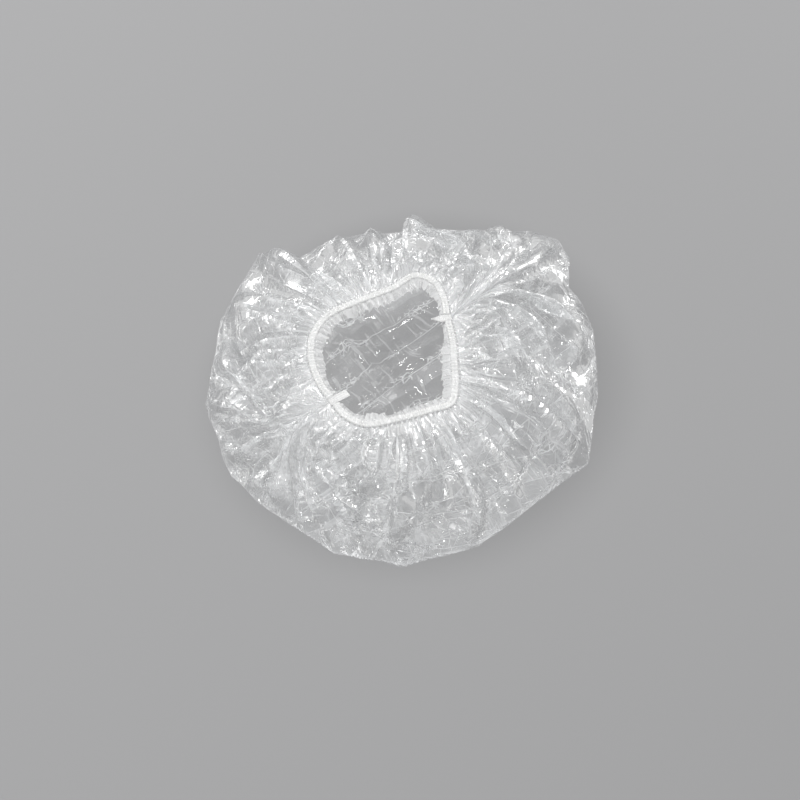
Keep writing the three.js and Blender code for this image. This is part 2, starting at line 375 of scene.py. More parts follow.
@dataclass(frozen=True)
class FilmFinish:
    """Thin clear film: mostly see-through, creased into flat facets, milky where it is gathered."""

    name: str = "clear_film"
    sheet_length: float = 0.546

    # Light
    tint: Colour = (0.985, 0.99, 0.992, 1.0)
    milk: Colour = (0.93, 0.94, 0.95, 1.0)
    roughness: float = 0.05
    index: float = 1.5
    shine: float = 1.3
    most_shine: float = 0.5
    glow: float = 0.35
    lift: float = 0.8

    # Milky shares
    haze: float = 0.12
    floor_haze: float = 0.12
    gathered_haze: float = 0.60
    fold_haze: float = 0.15
    # Milk of the crease lines, partly painted highlights along the creases
    crease_milk_and_highlight: float = 0.75
    patch_haze: Ramp = Ramp(0.40, 0.64, 0.3, 1.9)
    panel_haze: Ramp = Ramp(0.0, 1.0, 0.3, 1.7)
    floor_folds: Ramp = Ramp(0.0, 1.0, 1.0, 0.15)

    # Noises on the flat film
    warp_scale: float = 40.0
    warp: float = 0.005
    stretch: Triple = (0.55, 1.0, 1.0)
    patch_scale: float = 22.0
    break_scale: Triple = (28.0, 60.0, 1.0)

    # Leaning facets
    facet_scale: float = 62.0
    facet_tilt: float = 0.34
    crinkle_scale: float = 230.0
    crinkle_tilt: float = 0.42
    crinkle_patches: Ramp = Ramp(0.46, 0.58, 0.12, 1.0)
    sparkle_scale: float = 330.0
    sparkle_tilt: float = 0.9
    sparkle_reach: Ramp = Ramp(0.001, 0.0050, 1.0, 0.0)
    sparkle_breaks: Ramp = Ramp(0.48, 0.56, 0.0, 1.0)
    gathered_calm: Ramp = Ramp(0.3, 0.8, 1.0, 0.25)

    # Streaks along the pleats
    streak_scale: float = 230.0
    streak_length: float = 9.0
    streak_noise: Pair = (0.36, 0.66)
    streak_low: float = 0.50
    streak_mean: float = 1.05
    fan_ends: Ramp = Ramp(0.020, 0.075, 1.0, 0.0)

    # Crease lines
    pleat_pitch: float = 0.0225
    pleat_width: Ramp = Ramp(0.0, 0.0007, 1.4, 0.0)
    pleat_breaks: Ramp = Ramp(0.36, 0.55, 0.35, 1.0)
    # Painted glints: strength and width of the white jagged lines along the pleats
    zigzag_glint: float = 2.4
    zigzag_glint_width: float = 0.16
    facet_edge: float = 0.030
    facet_breaks: Ramp = Ramp(0.40, 0.60, 0.10, 1.0)
    crinkle_edge: float = 0.08
    crinkle_breaks: Ramp = Ramp(0.44, 0.60, 0.0, 0.8)
    floor_hairs: Hairs = Hairs(0.35, (330.0, 34.0, 1.0))
    long_hairs: tuple[Hairs, Hairs] = (Hairs(-0.55, (170.0, 11.0, 1.0)), Hairs(0.80, (150.0, 12.0, 1.0)))
    hair_width: Ramp = Ramp(0.60, 0.68, 0.0, 0.45)
    floor_lines: Ramp = Ramp(0.0, 1.0, 1.0, 0.12)
    crease_relief: Pair = (0.0007, 0.6)

    def material(self) -> bpy.types.Material:
        """Builds the material.

        Returns:
            A material that reads the piece's flat map and its stored numbers.
        """
        film = self.film_map(NodeBoard(self.name))
        board = film.board
        smooth = board.ramp(film.gather, self.gathered_calm)
        by_pleats = board.times(board.ramp(film.turns, self.sparkle_reach),
                                board.ramp(film.broken, self.sparkle_breaks))
        sparkling = board.times(by_pleats, smooth)
        crinkled = board.times(board.ramp(film.patch, self.crinkle_patches), smooth)
        lines = self.crease_lines(film, sparkling)
        normal = self.faceted_normal(film, crinkled, sparkling)
        creased = board.bump(lines, self.crease_relief, Normal=normal)
        return board.done(self.sheen(film, self.milk_and_painted_highlights(film, lines), creased))

    def film_map(self, board: NodeBoard) -> FilmMap:
        """Sockets that the other parts of the material read.

        Args:
            board: node tree to add to.

        Returns:
            The sockets.
        """
        flat = board.add("UVMap", uv_map=SHEET_UV).outputs["UV"]
        warp = board.vector("SUBTRACT", board.noise(flat, self.warp_scale, 2.0, "Color"), HALF_EACH)
        bent = board.vector("ADD", flat, board.scaled(warp, self.warp))
        places = board.add("SeparateXYZ", {0: flat}).outputs
        return FilmMap(
            board=board, flat=flat, bent=bent, grain=board.stretched(bent, self.stretch),
            along=places["X"], across=places["Y"],
            turns=board.math("PINGPONG", places["Y"], self.pleat_pitch / 2),
            patch=board.noise(flat, self.patch_scale, 3.0),
            broken=board.noise(board.stretched(flat, self.break_scale), 1.0, 2.0),
            gather=board.stored(GATHER), floor=board.stored(FLOOR))

    def milk_and_painted_highlights(self, film: FilmMap, lines: Socket) -> Socket:
        """Milky share of the film: cloudy panels, gathered streaks, folds, and crease lines that are partly
        painted highlights.

        Args:
            film: shared sockets.
            lines: strength of the crease lines.

        Returns:
            The share, from 0 to 1.
        """
        board = film.board
        panel = board.math("FLOOR", board.math("DIVIDE", film.across, self.pleat_pitch / 2))
        layered = board.add("TexWhiteNoise", {"W": panel}, noise_dimensions="1D").outputs["Value"]
        cloud = board.times(board.ramp(film.patch, self.patch_haze), board.ramp(layered, self.panel_haze))
        thin = board.times(cloud, board.ramp(film.floor, Ramp(0.0, 1.0, self.haze, self.floor_haze)))
        dense = board.times(board.times(film.gather, self.gathered_haze), self.streaks(film))
        folded = board.times(board.stored(CREASE), board.ramp(film.floor, self.floor_folds))
        haze = board.math("ADD", thin, dense)
        haze = board.math("ADD", haze, board.times(folded, self.fold_haze))
        return board.math("ADD", haze, board.times(lines, self.crease_milk_and_highlight), clamp=True)

    def streaks(self, film: FilmMap) -> Socket:
        """Milky streaks along the pleats, which run into the mouth and, at the sheet's ends, into the seals.

        Args:
            film: shared sockets.

        Returns:
            The streaks' strength, about 1.
        """
        board = film.board
        fine, slow = self.streak_scale, self.streak_scale / self.streak_length
        from_end = board.math("PINGPONG", film.along, self.sheet_length / 2)
        fanned = board.ramp(from_end, self.fan_ends)
        mouth, fan = (board.noise(board.stretched(film.bent, scale), 1.0, 3.0)
                      for scale in ((fine, slow, 1.0), (slow, fine, 1.0)))
        mixed = board.math("ADD", board.times(fan, fanned),
                           board.times(mouth, board.math("SUBTRACT", 1.0, fanned)))
        streak_high = 2 * self.streak_mean - self.streak_low
        return board.ramp(mixed, Ramp(*self.streak_noise, self.streak_low, streak_high))

    def faceted_normal(self, film: FilmMap, crinkled: Socket, sparkling: Socket) -> Socket:
        """Surface normal that leans by a random amount on each flat facet.

        Args:
            film: shared sockets.
            crinkled: share of fine crinkles.
            sparkling: share of the finest crinkles, along the pleats.

        Returns:
            The normal.
        """
        board = film.board

        def leaning(scale: float, amount: object) -> Socket:
            """Random lean of the facets of one size."""
            cells = board.add("TexVoronoi", {"Vector": film.grain, "Scale": scale}).outputs["Color"]
            return board.scaled(board.vector("SUBTRACT", cells, HALF_EACH), amount)

        large = leaning(self.facet_scale, self.facet_tilt)
        small = leaning(self.crinkle_scale, board.times(crinkled, self.crinkle_tilt))
        tiny = leaning(self.sparkle_scale, board.times(sparkling, self.sparkle_tilt))
        surface = board.add("NewGeometry").outputs["Normal"]
        summed = board.vector("ADD", board.vector("ADD", surface, large), board.vector("ADD", small, tiny))
        return board.vector("NORMALIZE", summed)

    def crease_lines(self, film: FilmMap, sparkling: Socket) -> Socket:
        """All thin pale lines of the film: milky creases that are partly painted highlights along them, and
        painted glints.

        Args:
            film: shared sockets.
            sparkling: share of the crinkles along the pleats.

        Returns:
            The lines' strength.
        """
        board = film.board
        upper = board.ramp(film.floor, self.floor_lines)
        on_floor = board.times(self.hair_lines(board, film.flat, self.floor_hairs), film.floor)
        cells = board.most(board.times(self.cell_lines(film), upper), on_floor)
        lines = board.most(self.pleat_lines(film, sparkling), cells)
        crossing = board.most(*(self.hair_lines(board, film.bent, hairs) for hairs in self.long_hairs))
        return board.most(lines, board.times(crossing, upper))

    def cell_edges(self, film: FilmMap, scale: float, width: float) -> Socket:
        """Lines between the facets of one size.

        Args:
            film: shared sockets.
            scale: facets to a metre.
            width: share of a facet that a line takes.

        Returns:
            The lines' strength.
        """
        voronoi = {"Vector": film.grain, "Scale": scale}
        cells = film.board.add("TexVoronoi", voronoi, feature="DISTANCE_TO_EDGE")
        return film.board.ramp(cells.outputs["Distance"], Ramp(0.0, width, 1.0, 0.0))

    def pleat_lines(self, film: FilmMap, sparkling: Socket) -> Socket:
        """Thin pale lines where the cap was folded to be packed, with jagged painted glints along some of
        them.

        Args:
            film: shared sockets.
            sparkling: share of the crinkles along the pleats.

        Returns:
            The lines' strength.
        """
        board = film.board
        straight = board.times(board.ramp(film.turns, self.pleat_width),
                               board.ramp(film.broken, self.pleat_breaks))
        # Painted glints: white jagged lines along the pleats, in place of light caught by their crinkles
        zigzag_glint = board.times(self.cell_edges(film, self.sparkle_scale, self.zigzag_glint_width),
                             board.times(sparkling, self.zigzag_glint))
        return board.most(straight, zigzag_glint)

    def cell_lines(self, film: FilmMap) -> Socket:
        """Thin pale lines round the facets and the crinkles, partly painted highlights along their creases.

        Args:
            film: shared sockets.

        Returns:
            The lines' strength.
        """
        board = film.board
        coarse = board.times(self.cell_edges(film, self.facet_scale, self.facet_edge),
                             board.ramp(film.broken, self.facet_breaks))
        fine = board.times(self.cell_edges(film, self.crinkle_scale, self.crinkle_edge),
                           board.ramp(film.patch, self.crinkle_breaks))
        return board.most(coarse, fine)

    def hair_lines(self, board: NodeBoard, flat: Socket, hairs: Hairs) -> Socket:
        """Faint straight lines that cross the film one way.

        Args:
            board: node tree to add to.
            flat: places on the flat film.
            hairs: angle and closeness of the lines.

        Returns:
            The lines' strength.
        """
        drawn = board.stretched(flat, hairs.scale, hairs.turn)
        return board.ramp(board.noise(drawn, 1.0, 1.0), self.hair_width)

    def sheen(self, film: FilmMap, haze: Socket, normal: Socket) -> Socket:
        """Clear, milky and shiny shares of the film, where gathered film spreads the light that falls on it.

        Args:
            film: shared sockets.
            haze: milky share, part of it painted highlights along the creases.
            normal: surface normal.

        Returns:
            The finished shader.
        """
        board = film.board
        clear = board.add("BsdfTransparent", {"Color": self.tint}).outputs[0]
        rise = board.add("CombineXYZ", {"Z": board.times(film.gather, self.lift)}).outputs[0]
        raised = board.vector("NORMALIZE", board.vector("ADD", normal, rise))
        lit = board.add("BsdfDiffuse", {"Color": self.milk, "Normal": raised}).outputs[0]
        glow = board.add("BsdfTranslucent", {"Color": self.milk, "Normal": normal}).outputs[0]
        body = board.blend(haze, clear, board.blend(self.glow, lit, glow))
        gloss = board.add("BsdfGlossy", {"Roughness": self.roughness, "Normal": normal}).outputs[0]
        fresnel = board.add("Fresnel", {"IOR": self.index}).outputs[0]
        shine = board.math("MINIMUM", board.times(fresnel, self.shine), self.most_shine)
        return board.blend(shine, body, gloss)


@dataclass(frozen=True)
class RubberFinish:
    """White elastic rubber, slightly uneven along its length."""

    name: str = "white_elastic"
    colour: Colour = (0.97, 0.97, 0.955, 1.0)
    shade: Colour = (0.91, 0.91, 0.89, 1.0)
    mottle_scale: float = 420.0
    mottle_span: Pair = (0.32, 0.56)
    roughness: Ramp = Ramp(0.3, 0.7, 0.65, 0.45)
    relief: Pair = (0.0003, 0.5)

    def material(self) -> bpy.types.Material:
        """Builds the material from noise on Object coordinates."""
        board = NodeBoard(self.name)
        mottle = board.noise(board.add("TexCoord").outputs["Object"], self.mottle_scale, 4.0)
        colour = board.add("ValToRGB", {"Fac": mottle})
        stops = zip(colour.color_ramp.elements, (self.shade, self.colour), self.mottle_span)
        for stop, tone, position in stops:
            stop.color = tone
            stop.position = position
        skin = board.add("BsdfPrincipled", {
            "Base Color": colour.outputs["Color"], "Roughness": board.ramp(mottle, self.roughness),
            "Normal": board.bump(mottle, self.relief)})
        return board.done(skin.outputs[0])


@dataclass
class MouthBand:
    """The line of the elastic mouth, which the strands, hems, frills and end seals follow."""

    right_seal: Pair = (24.5, -7)
    left_seal: Pair = (-81.5, -4)
    back: tuple[Pair, ...] = (
        (35, 8), (39.5, 23), (33, 36), (13, 38.5), (-14, 46.5), (-38, 51.5), (-56, 46), (-71, 31),
        (-79.5, 11))
    front: tuple[Pair, ...] = (
        (-83, -18), (-77, -32.5), (-57, -44.5), (-36, -54), (-23, -59), (-12, -52), (2, -37), (14, -23))
    height: float = 0.042
    tilt: float = 0.05
    per_span: int = 60
    line: np.ndarray = field(init=False, repr=False)
    outward: np.ndarray = field(init=False, repr=False)
    lengths: np.ndarray = field(init=False, repr=False)

    def __post_init__(self) -> None:
        """Works out the loop, its outward directions and its lengths."""
        corners = np.array([self.right_seal, *self.back, self.left_seal, *self.front], float) * MM
        plan = smooth_loop(corners, self.per_span)
        along = np.roll(plan, -1, axis=0) - np.roll(plan, 1, axis=0)
        along /= np.linalg.norm(along, axis=1, keepdims=True)
        flat = np.stack([along[:, 1], -along[:, 0], np.zeros(len(plan))], axis=1)
        line = np.column_stack([plan, self.height_at(plan[:, 1])])
        self.line = np.vstack([line, line[:1]])
        self.outward = np.vstack([flat, flat[:1]])
        steps = np.linalg.norm(np.diff(self.line[:, :2], axis=0), axis=1)
        self.lengths = np.concatenate([[0.0], np.cumsum(steps)])

    @property
    def total(self) -> float:
        """Length once round the mouth."""
        return float(self.lengths[-1])

    @property
    def left_length(self) -> float:
        """Length from the right seal round the back to the left one."""
        return float(self.lengths[self.per_span * (1 + len(self.back))])

    def height_at(self, y: np.ndarray) -> np.ndarray:
        """Height of the band above the table at a place from front to back."""
        return self.height + self.tilt * (y - self.left_seal[1] * MM)

    def at(self, lengths: np.ndarray) -> tuple[np.ndarray, np.ndarray]:
        """Points of the band.

        Args:
            lengths: distances along it from the right seal.

        Returns:
            Their places and their outward directions.
        """
        place = [np.interp(lengths, self.lengths, self.line[:, k]) for k in range(3)]
        out = np.stack([np.interp(lengths, self.lengths, self.outward[:, k]) for k in range(3)], axis=-1)
        return np.stack(place, axis=-1), out / np.linalg.norm(out, axis=-1, keepdims=True)

    def half_lengths(self, half: Half, end_gap: float, step: float) -> np.ndarray:
        """Even distances along one half.

        Args:
            half: half of the mouth.
            end_gap: distance kept to the middle of each seal.
            step: distance between two points.

        Returns:
            Distances from the right seal, rising.
        """
        low, high = (0.0, self.left_length) if half is Half.BACK else (self.left_length, self.total)
        count = int((high - low - 2 * end_gap) / step) + 1
        return np.linspace(low + end_gap, high - end_gap, count)

    def seal_place(self, side: Side) -> tuple[Vector, Vector]:
        """Middle of an end seal and its outward direction."""
        place, out = self.at(np.array([self.left_length if side is Side.LEFT else 0.0]))
        return Vector(place[0]), Vector(out[0])


@dataclass(frozen=True)
class FoldPass:
    """One pass of the fold solver, from coarse to fine.

    Attributes:
        rows: points along the sheet.
        columns: points across it.
        start: distance from the mouth at which the film starts to be free.
        reach: distance over which it gets free.
        ripple: height of the first ripples.
        rounds: rounds in which the film takes up its lengths.
        hold: share of the way back to its target that each point goes in a round.
        flatten: times that the facets are flattened.
        ends: distance from the mouth past which the film stays as it is.
    """

    rows: int
    columns: int
    start: float
    reach: float
    ripple: float
    rounds: int
    hold: float
    flatten: int
    ends: float

    def free(self, away: np.ndarray) -> np.ndarray:
        """How free the film is at some distances from the mouth, from 0 to 1."""
        return ease(away, self.start, self.start + self.reach)


@dataclass(frozen=True)
class SheetGrid:
    """A grid of points on the sheet, and where they lie on the smooth bag.

    Attributes:
        flat: places on the flat film.
        theta: plan angles about the mouth's middle.
        share: shares of the way from the mouth over the rim to the middle of the underside.
        path: lengths of that way.
        rim_at: shares at which the rim lies.
        turn_at: shares at which the film has turned to the underside.
    """

    flat: np.ndarray
    theta: np.ndarray
    share: np.ndarray
    path: np.ndarray
    rim_at: np.ndarray
    turn_at: np.ndarray

    @property
    def away(self) -> np.ndarray:
        """Distances from the mouth."""
        return self.share * self.path

    @property
    def under(self) -> np.ndarray:
        """Shares of the underside, from 0 to 1."""
        return ease(self.share, self.rim_at, self.turn_at)

    def at_rim(self, reach: float) -> np.ndarray:
        """How near the points lie to the rim, from 0 to 1 within some reach."""
        return np.exp(-((self.share - self.rim_at) * self.path / reach) ** 2)


@dataclass
class FilmBag:
    """The bag: one flat sheet, gathered onto the mouth and let buckle into pleats and facets."""

    band: MouthBand

    # Flat sheet and the folds that it was packed in
    length: float = 0.546
    width: float = 0.450
    end_share: float = 0.02
    pleat_pitch: float = 0.0225
    pleat_rise: float = 0.0024
    pleat_shift: float = 0.16
    pleat_rises: Pair = (0.3, 1.3)
    pleat_slant: float = 0.006

    # Smooth bag
    rim_corners: tuple[Triple, ...] = (
        (161, 4, 10), (151, 27, 9), (87, 87, 9), (50, 112, 13), (22, 122, 19), (-10, 124, 18),
        (-28, 146, 24), (-86, 122, 14), (-138, 73, 9), (-161, 15, 8), (-160, -12, 8), (-147, -77, 8),
        (-118, -116, 8), (-72, -139, 8), (27, -146, 8), (70, -117, 9), (113, -75, 10), (127, -49, 10),
        (132, -34, 9), (154, -15, 10))
    edge_offset: float = 0.0027
    rim_turn: float = 1.6
    fold_rise: float = 0.008
    fold_level: float = 0.4
    full_fold_run: float = 0.060
    puff: float = 0.008
    side_fall: float = 1.5
    fan_rise: float = 0.004
    fan_spread: float = 16.0
    fan_reach: float = 0.40
    sectors: int = 720
    stations: int = 241
    side_steps: int = 120
    turn_steps: int = 16
    under_steps: int = 100

    # Gathered edge, pleats at the mouth and fans at the seals
    edge_ripple: float = 0.0011
    edge_pitch: float = 0.0036
    edge_swing: Drift = Drift(1.2, 2.5)
    fan_length: Pair = (0.020, 0.070)
    pleat_reach: float = 0.030
    rough_share: float = 0.15
    fan_share: float = 0.8

    # Fold solver
    passes: tuple[FoldPass, ...] = (
        FoldPass(101, 61, 0.038, 0.030, 0.0015, 150, 0.012, 3, 1.0),
        FoldPass(201, 121, 0.012, 0.016, 0.0006, 120, 0.010, 6, 1.0),
        FoldPass(401, 241, 0.000, 0.005, 0.00035, 110, 0.010, 2, 0.045))
    top_slack: Pair = (3.2, 2.2)
    under_slack: Pair = (1.0, 1.04)
    full_slack: float = 0.4
    stiffness: float = 0.97
    slack_softness: float = 0.2
    sink: float = 0.55
    under_room: Pair = (0.45, 0.012)
    ceiling: float = 0.060
    rim_reach: float = 0.012
    rim_hold: float = 0.15
    under_hold: float = 0.06
    past_hold: float = 0.5
    past_reach: float = 0.03
    facet_rounds: int = 3
    regrow_rounds: int = 6
    straight_rounds: int = 2
    calm_rounds: int = 8
    bunched: Pair = (0.0003, 0.0011)

    # Crumpled facets
    crumple_reach: Pair = (0.012, 0.045)
    crumple_rim: float = 0.008
    rim_calm: float = 0.7
    long_crumple: Crumple = Crumple(0.020, 0.0023, 20.0, 2.4)
    busy_crumples: tuple[Crumple, ...] = (
        Crumple(0.012, 0.0012, -40.0, 1.4), Crumple(0.0065, 0.00045, 10.0, 1.0))
    busy_zones: Crumple = Crumple(0.055, 1.0, 60.0, 1.0)
    busy_span: Pair = (-0.2, 0.5)
    least_busy: float = 0.25
    floor_crumple: Crumple = Crumple(0.0080, 0.00016, 35.0, 1.0)
    floor_pleats: float = 0.3
    headroom: Triple = (0.0, 0.0, 0.004)
    sharp_from: float = 8.0

    # Gathered look, and a painted sheen line along the rim
    edge_gather: Fade = Fade(1.5, 0.009)
    upper_gather: Fade = Fade(0.30, 0.080)
    fan_gather: Fade = Fade(1.20, 0.040)
    painted_rim_sheen: Fade = Fade(0.80, 0.0014)
    most_gather: float = 1.5

    # Worked out from the values above
    edge_loop: np.ndarray = field(init=False, repr=False)
    middle: np.ndarray = field(init=False, repr=False)
    angles: np.ndarray = field(init=False, repr=False)
    inner: np.ndarray = field(init=False, repr=False)
    rim: np.ndarray = field(init=False, repr=False)
    rim_height: np.ndarray = field(init=False, repr=False)
    ridge: np.ndarray = field(init=False, repr=False)
    fan: np.ndarray = field(init=False, repr=False)
    path: np.ndarray = field(init=False, repr=False)
    rim_share: np.ndarray = field(init=False, repr=False)
    turn_share: np.ndarray = field(init=False, repr=False)
    table: np.ndarray = field(init=False, repr=False)

    def __post_init__(self) -> None:
        """Works out the bag's smooth form before it folds."""
        edge = (self.band.line + self.edge_offset * self.band.outward)[:, :2]
        self.edge_loop = edge
        self.middle = (edge.min(axis=0) + edge.max(axis=0)) / 2
        self.angles = np.linspace(-np.pi, np.pi, self.sectors, endpoint=False)
        corners = np.array(self.rim_corners, float) * MM
        runs = np.roll(corners, -1, axis=0) - corners
        t = np.linspace(0.0, 1.0, self.band.per_span, endpoint=False)
        rim_loop = (corners[:, None] + t[None, :, None] * runs[:, None]).reshape(-1, 3)
        depth = np.minimum(np.hypot(runs[:, 0], runs[:, 1]) / self.full_fold_run, 1.0)
        ridge = (1.0 - depth[:, None] * (1.0 - np.abs(2.0 * t - 1.0))).ravel()
        self.inner = self.loop_radius(edge[:-1])
        self.rim = self.loop_radius(rim_loop[:, :2])
        self.rim_height = self.loop_values(rim_loop[:, :2], rim_loop[:, 2])
        self.ridge = self.loop_values(rim_loop[:, :2], ridge)
        self.fan = sum(self.in_fan(self.band.seal_place(side)[0]) for side in Side)
        self.make_profiles()

    def loop_values(self, loop: np.ndarray, values: np.ndarray) -> np.ndarray:
        """Values that are known along a loop, at the bag's angles about the mouth's middle."""
        away = loop - self.middle
        turn = np.arctan2(away[:, 1], away[:, 0])
        order = np.argsort(turn)
        return np.interp(self.angles, turn[order], values[order], period=2 * np.pi)

    def loop_radius(self, loop: np.ndarray) -> np.ndarray:
        """Plan radius of a loop about the mouth's middle, at the bag's angles."""
        away = loop - self.middle
        return self.loop_values(loop, np.hypot(away[:, 0], away[:, 1]))

    def in_fan(self, seal: Vector) -> np.ndarray:
        """How far the bag's angles lie inside the pleats that fan out from a seal, from 0 to 1."""
        turn = self.angles - math.atan2(seal.y - self.middle[1], seal.x - self.middle[0])
        away = np.arctan2(np.sin(turn), np.cos(turn)) / math.radians(self.fan_spread)
        return np.exp(-away ** 2)

    def make_profiles(self) -> None:
        """Tables of radius and height by angle, from the mouth over the rim to the underside's middle."""
        w = np.linspace(0.0, 1.0, self.side_steps)[:, None]
        edge_height = self.band.height_at(self.middle[1] + self.inner * np.sin(self.angles))
        drop = (edge_height - self.rim_height) * (1.0 - w ** self.side_fall)
        rise = self.puff + self.fan_rise * self.fan + self.fold_rise * (self.ridge - self.fold_level)
        side_z = self.rim_height + drop + rise * np.sin(np.pi * w)
        side_r = self.inner + (self.rim - self.inner) * w
        a = np.linspace(0.0, np.pi / 2, self.turn_steps)[1:, None]
        turn_z = self.rim_height * (1.0 - np.sin(a))
        turn_r = self.rim - self.rim_turn * self.rim_height * (1.0 - np.cos(a))
        b = np.linspace(0.0, 1.0, self.under_steps)[1:, None]
        under_r = (self.rim - self.rim_turn * self.rim_height) * (1.0 - b)
        r = np.vstack([side_r, turn_r, under_r])
        z = np.vstack([side_z, turn_z, 0.0 * under_r])
        steps = np.hypot(np.diff(r, axis=0), np.diff(z, axis=0))
        run = np.vstack([np.zeros((1, self.sectors)), np.cumsum(steps, axis=0)])
        self.path = run[-1]
        self.rim_share = run[len(w) - 1] / run[-1]
        self.turn_share = run[len(w) + len(a) - 1] / run[-1]
        share = np.linspace(0.0, 1.0, self.stations)
        self.table = np.stack([np.array([np.interp(share * run[-1, k], run[:, k], values[:, k])
                                         for k in range(self.sectors)]) for values in (r, z)], axis=-1)

    def by_angle(self, theta: np.ndarray, values: np.ndarray) -> np.ndarray:
        """Values that are known at the bag's angles, at other angles."""
        return np.interp(theta, self.angles, values, period=2 * np.pi)

    def surface(self, theta: np.ndarray, share: np.ndarray) -> np.ndarray:
        """Points of the smooth bag.

        Args:
            theta: plan angles about the mouth's middle.
            share: shares of the way from the mouth to the middle of the underside.

        Returns:
            Their places.
        """
        turn = (theta + np.pi) / (2 * np.pi) * self.sectors
        i = np.floor(turn).astype(int)
        fi = (turn - i)[..., None]
        way = np.clip(share, 0.0, 1.0) * (self.stations - 1)
        j = np.minimum(np.floor(way).astype(int), self.stations - 2)
        fj = (way - j)[..., None]
        low, high = i % self.sectors, (i + 1) % self.sectors
        near = (1 - fj) * self.table[low, j] + fj * self.table[low, j + 1]
        far = (1 - fj) * self.table[high, j] + fj * self.table[high, j + 1]
        spot = (1 - fi) * near + fi * far
        x = self.middle[0] + spot[..., 0] * np.cos(theta)
        y = self.middle[1] + spot[..., 0] * np.sin(theta)
        return np.stack([x, y, spot[..., 1]], axis=-1)

    def edge_angle(self, phi: np.ndarray, share: np.ndarray) -> np.ndarray:
        """Plan angle of the film, even along the mouth and fanned out from the seals at the rim.

        Args:
            phi: sheet angles, 0 at the right seal and pi at the left one.
            share: shares of the way from the mouth to the middle of the underside.

        Returns:
            Plan angles about the mouth's middle.
        """
        left, total = self.band.left_length, self.band.total
        fanned = ease(share, 0.0, self.fan_reach)
        turn = np.abs(phi) / np.pi
        way = fanned * turn + (1.0 - fanned) * (1.0 - np.cos(phi)) / 2.0
        length = np.where(phi < 0.0, total - way * (total - left), way * left)
        x = np.interp(length, self.band.lengths, self.edge_loop[:, 0])
        y = np.interp(length, self.band.lengths, self.edge_loop[:, 1])
        return np.arctan2(y - self.middle[1], x - self.middle[0])

    def sheet_grid(self, rows: int, columns: int) -> SheetGrid:
        """Even grid on the flat sheet.

        Args:
            rows: points along the sheet.
            columns: points across it.

        Returns:
            The grid.
        """
        s, t = np.meshgrid(np.linspace(self.end_share, 1.0 - self.end_share, rows),
                           np.linspace(0.0, 1.0, columns), indexing="ij")
        x = -np.cos(np.pi * s)
        y = (2.0 * t - 1.0) * np.sin(np.pi * s)
        flat = np.stack([(x + 1.0) / 2.0 * self.length, t * self.width], axis=-1)
        share = 1.0 - np.hypot(x, y)
        theta = self.edge_angle(np.arctan2(y, x), share)
        by_angle = (self.by_angle(theta, values) for values in (self.path, self.rim_share, self.turn_share))
        return SheetGrid(flat, theta, share, *by_angle)

    def top_height(self, theta: np.ndarray, place: np.ndarray) -> np.ndarray:
        """Height of the bag's upper side above each place."""
        away = np.hypot(place[..., 0] - self.middle[0], place[..., 1] - self.middle[1])
        inner = self.by_angle(theta, self.inner)
        w = np.clip((away - inner) / (self.by_angle(theta, self.rim) - inner), 0.0, 1.0)
        rim_height = self.by_angle(theta, self.rim_height)
        drop = (self.band.height - rim_height) * (1.0 - w ** self.side_fall)
        return rim_height + drop + self.puff * np.sin(np.pi * w)

    def pleat_heights(self, flat: np.ndarray) -> np.ndarray:
        """Heights of the folds that the cap was packed in, at places on the flat film."""
        rng = np.random.default_rng(11)
        count = int(self.width / self.pleat_pitch * 2) + 2
        lines = (np.arange(count) + self.pleat_shift * rng.normal(0.0, 1.0, count)) * self.pleat_pitch / 2
        rises = self.pleat_rise * (np.arange(count) % 2) * rng.uniform(*self.pleat_rises, count)
        slant = self.pleat_slant * np.sin(flat[..., 0] * 2 * np.pi / self.length)
        return np.interp(flat[..., 1] + slant, lines, rises)

    def ruffled_edge(self, place: np.ndarray, rng: np.random.Generator) -> np.ndarray:
        """Places of the film's edge, gathered up and down inside the hem."""
        steps = np.linalg.norm(np.diff(place, axis=0), axis=1)
        run = np.concatenate([[0.0], np.cumsum(steps)])
        swing = Drift(self.edge_swing.size, self.edge_swing.pitch * self.edge_pitch)
        phase = 2 * np.pi * run / self.edge_pitch + drifting(rng, run, swing)
        edge = place.copy()
        edge[:, 2] += self.edge_ripple * np.sin(phase)
        return edge

    def fold(self) -> np.ndarray:
        """Lets the sheet buckle.

        Returns:
            Places of the folded film.
        """
        rng = np.random.default_rng(3)
        points = None
        for fold_pass in self.passes:
            points = self.relax(fold_pass, points, rng)
        return points

    def pleat_shares(self, grid: SheetGrid) -> tuple[np.ndarray, np.ndarray]:
        """Where the pleats run along the rows, in the fans of the seals, and across them, at the mouth.

        Args:
            grid: points of the sheet.

        Returns:
            Shares from 0 to 1 for the fans and for the mouth.
        """
        from_end = np.minimum(grid.flat[..., 0], self.length - grid.flat[..., 0])
        fan = 1.0 - ease(from_end, *self.fan_length)
        return fan, (1.0 - fan) * np.exp(-grid.away / self.pleat_reach)

    def straighten(self, points: np.ndarray, grid: SheetGrid) -> None:
        """Evens the film along its pleats, at the mouth and in the fans of the two seals.

        Args:
            points: places of the folded film, which are changed.
            grid: points of the sheet.
        """
        for _ in range(self.straight_rounds):
            for axis, share in enumerate(self.pleat_shares(grid)):
                even_out(points, share, axis)

    def calm(self, points: np.ndarray, smooth: np.ndarray) -> None:
        """Takes the finest ripples out of the film where it is most bunched up.

        Args:
            points: places of the folded film, which are changed.
            smooth: places on the smooth bag.
        """
        for axis in (0, 1):
            pitch = np.linalg.norm(np.gradient(smooth, axis=axis), axis=2)
            share = 1.0 - ease(pitch, *self.bunched)
            for _ in range(self.calm_rounds):
                even_out(points, share, axis)

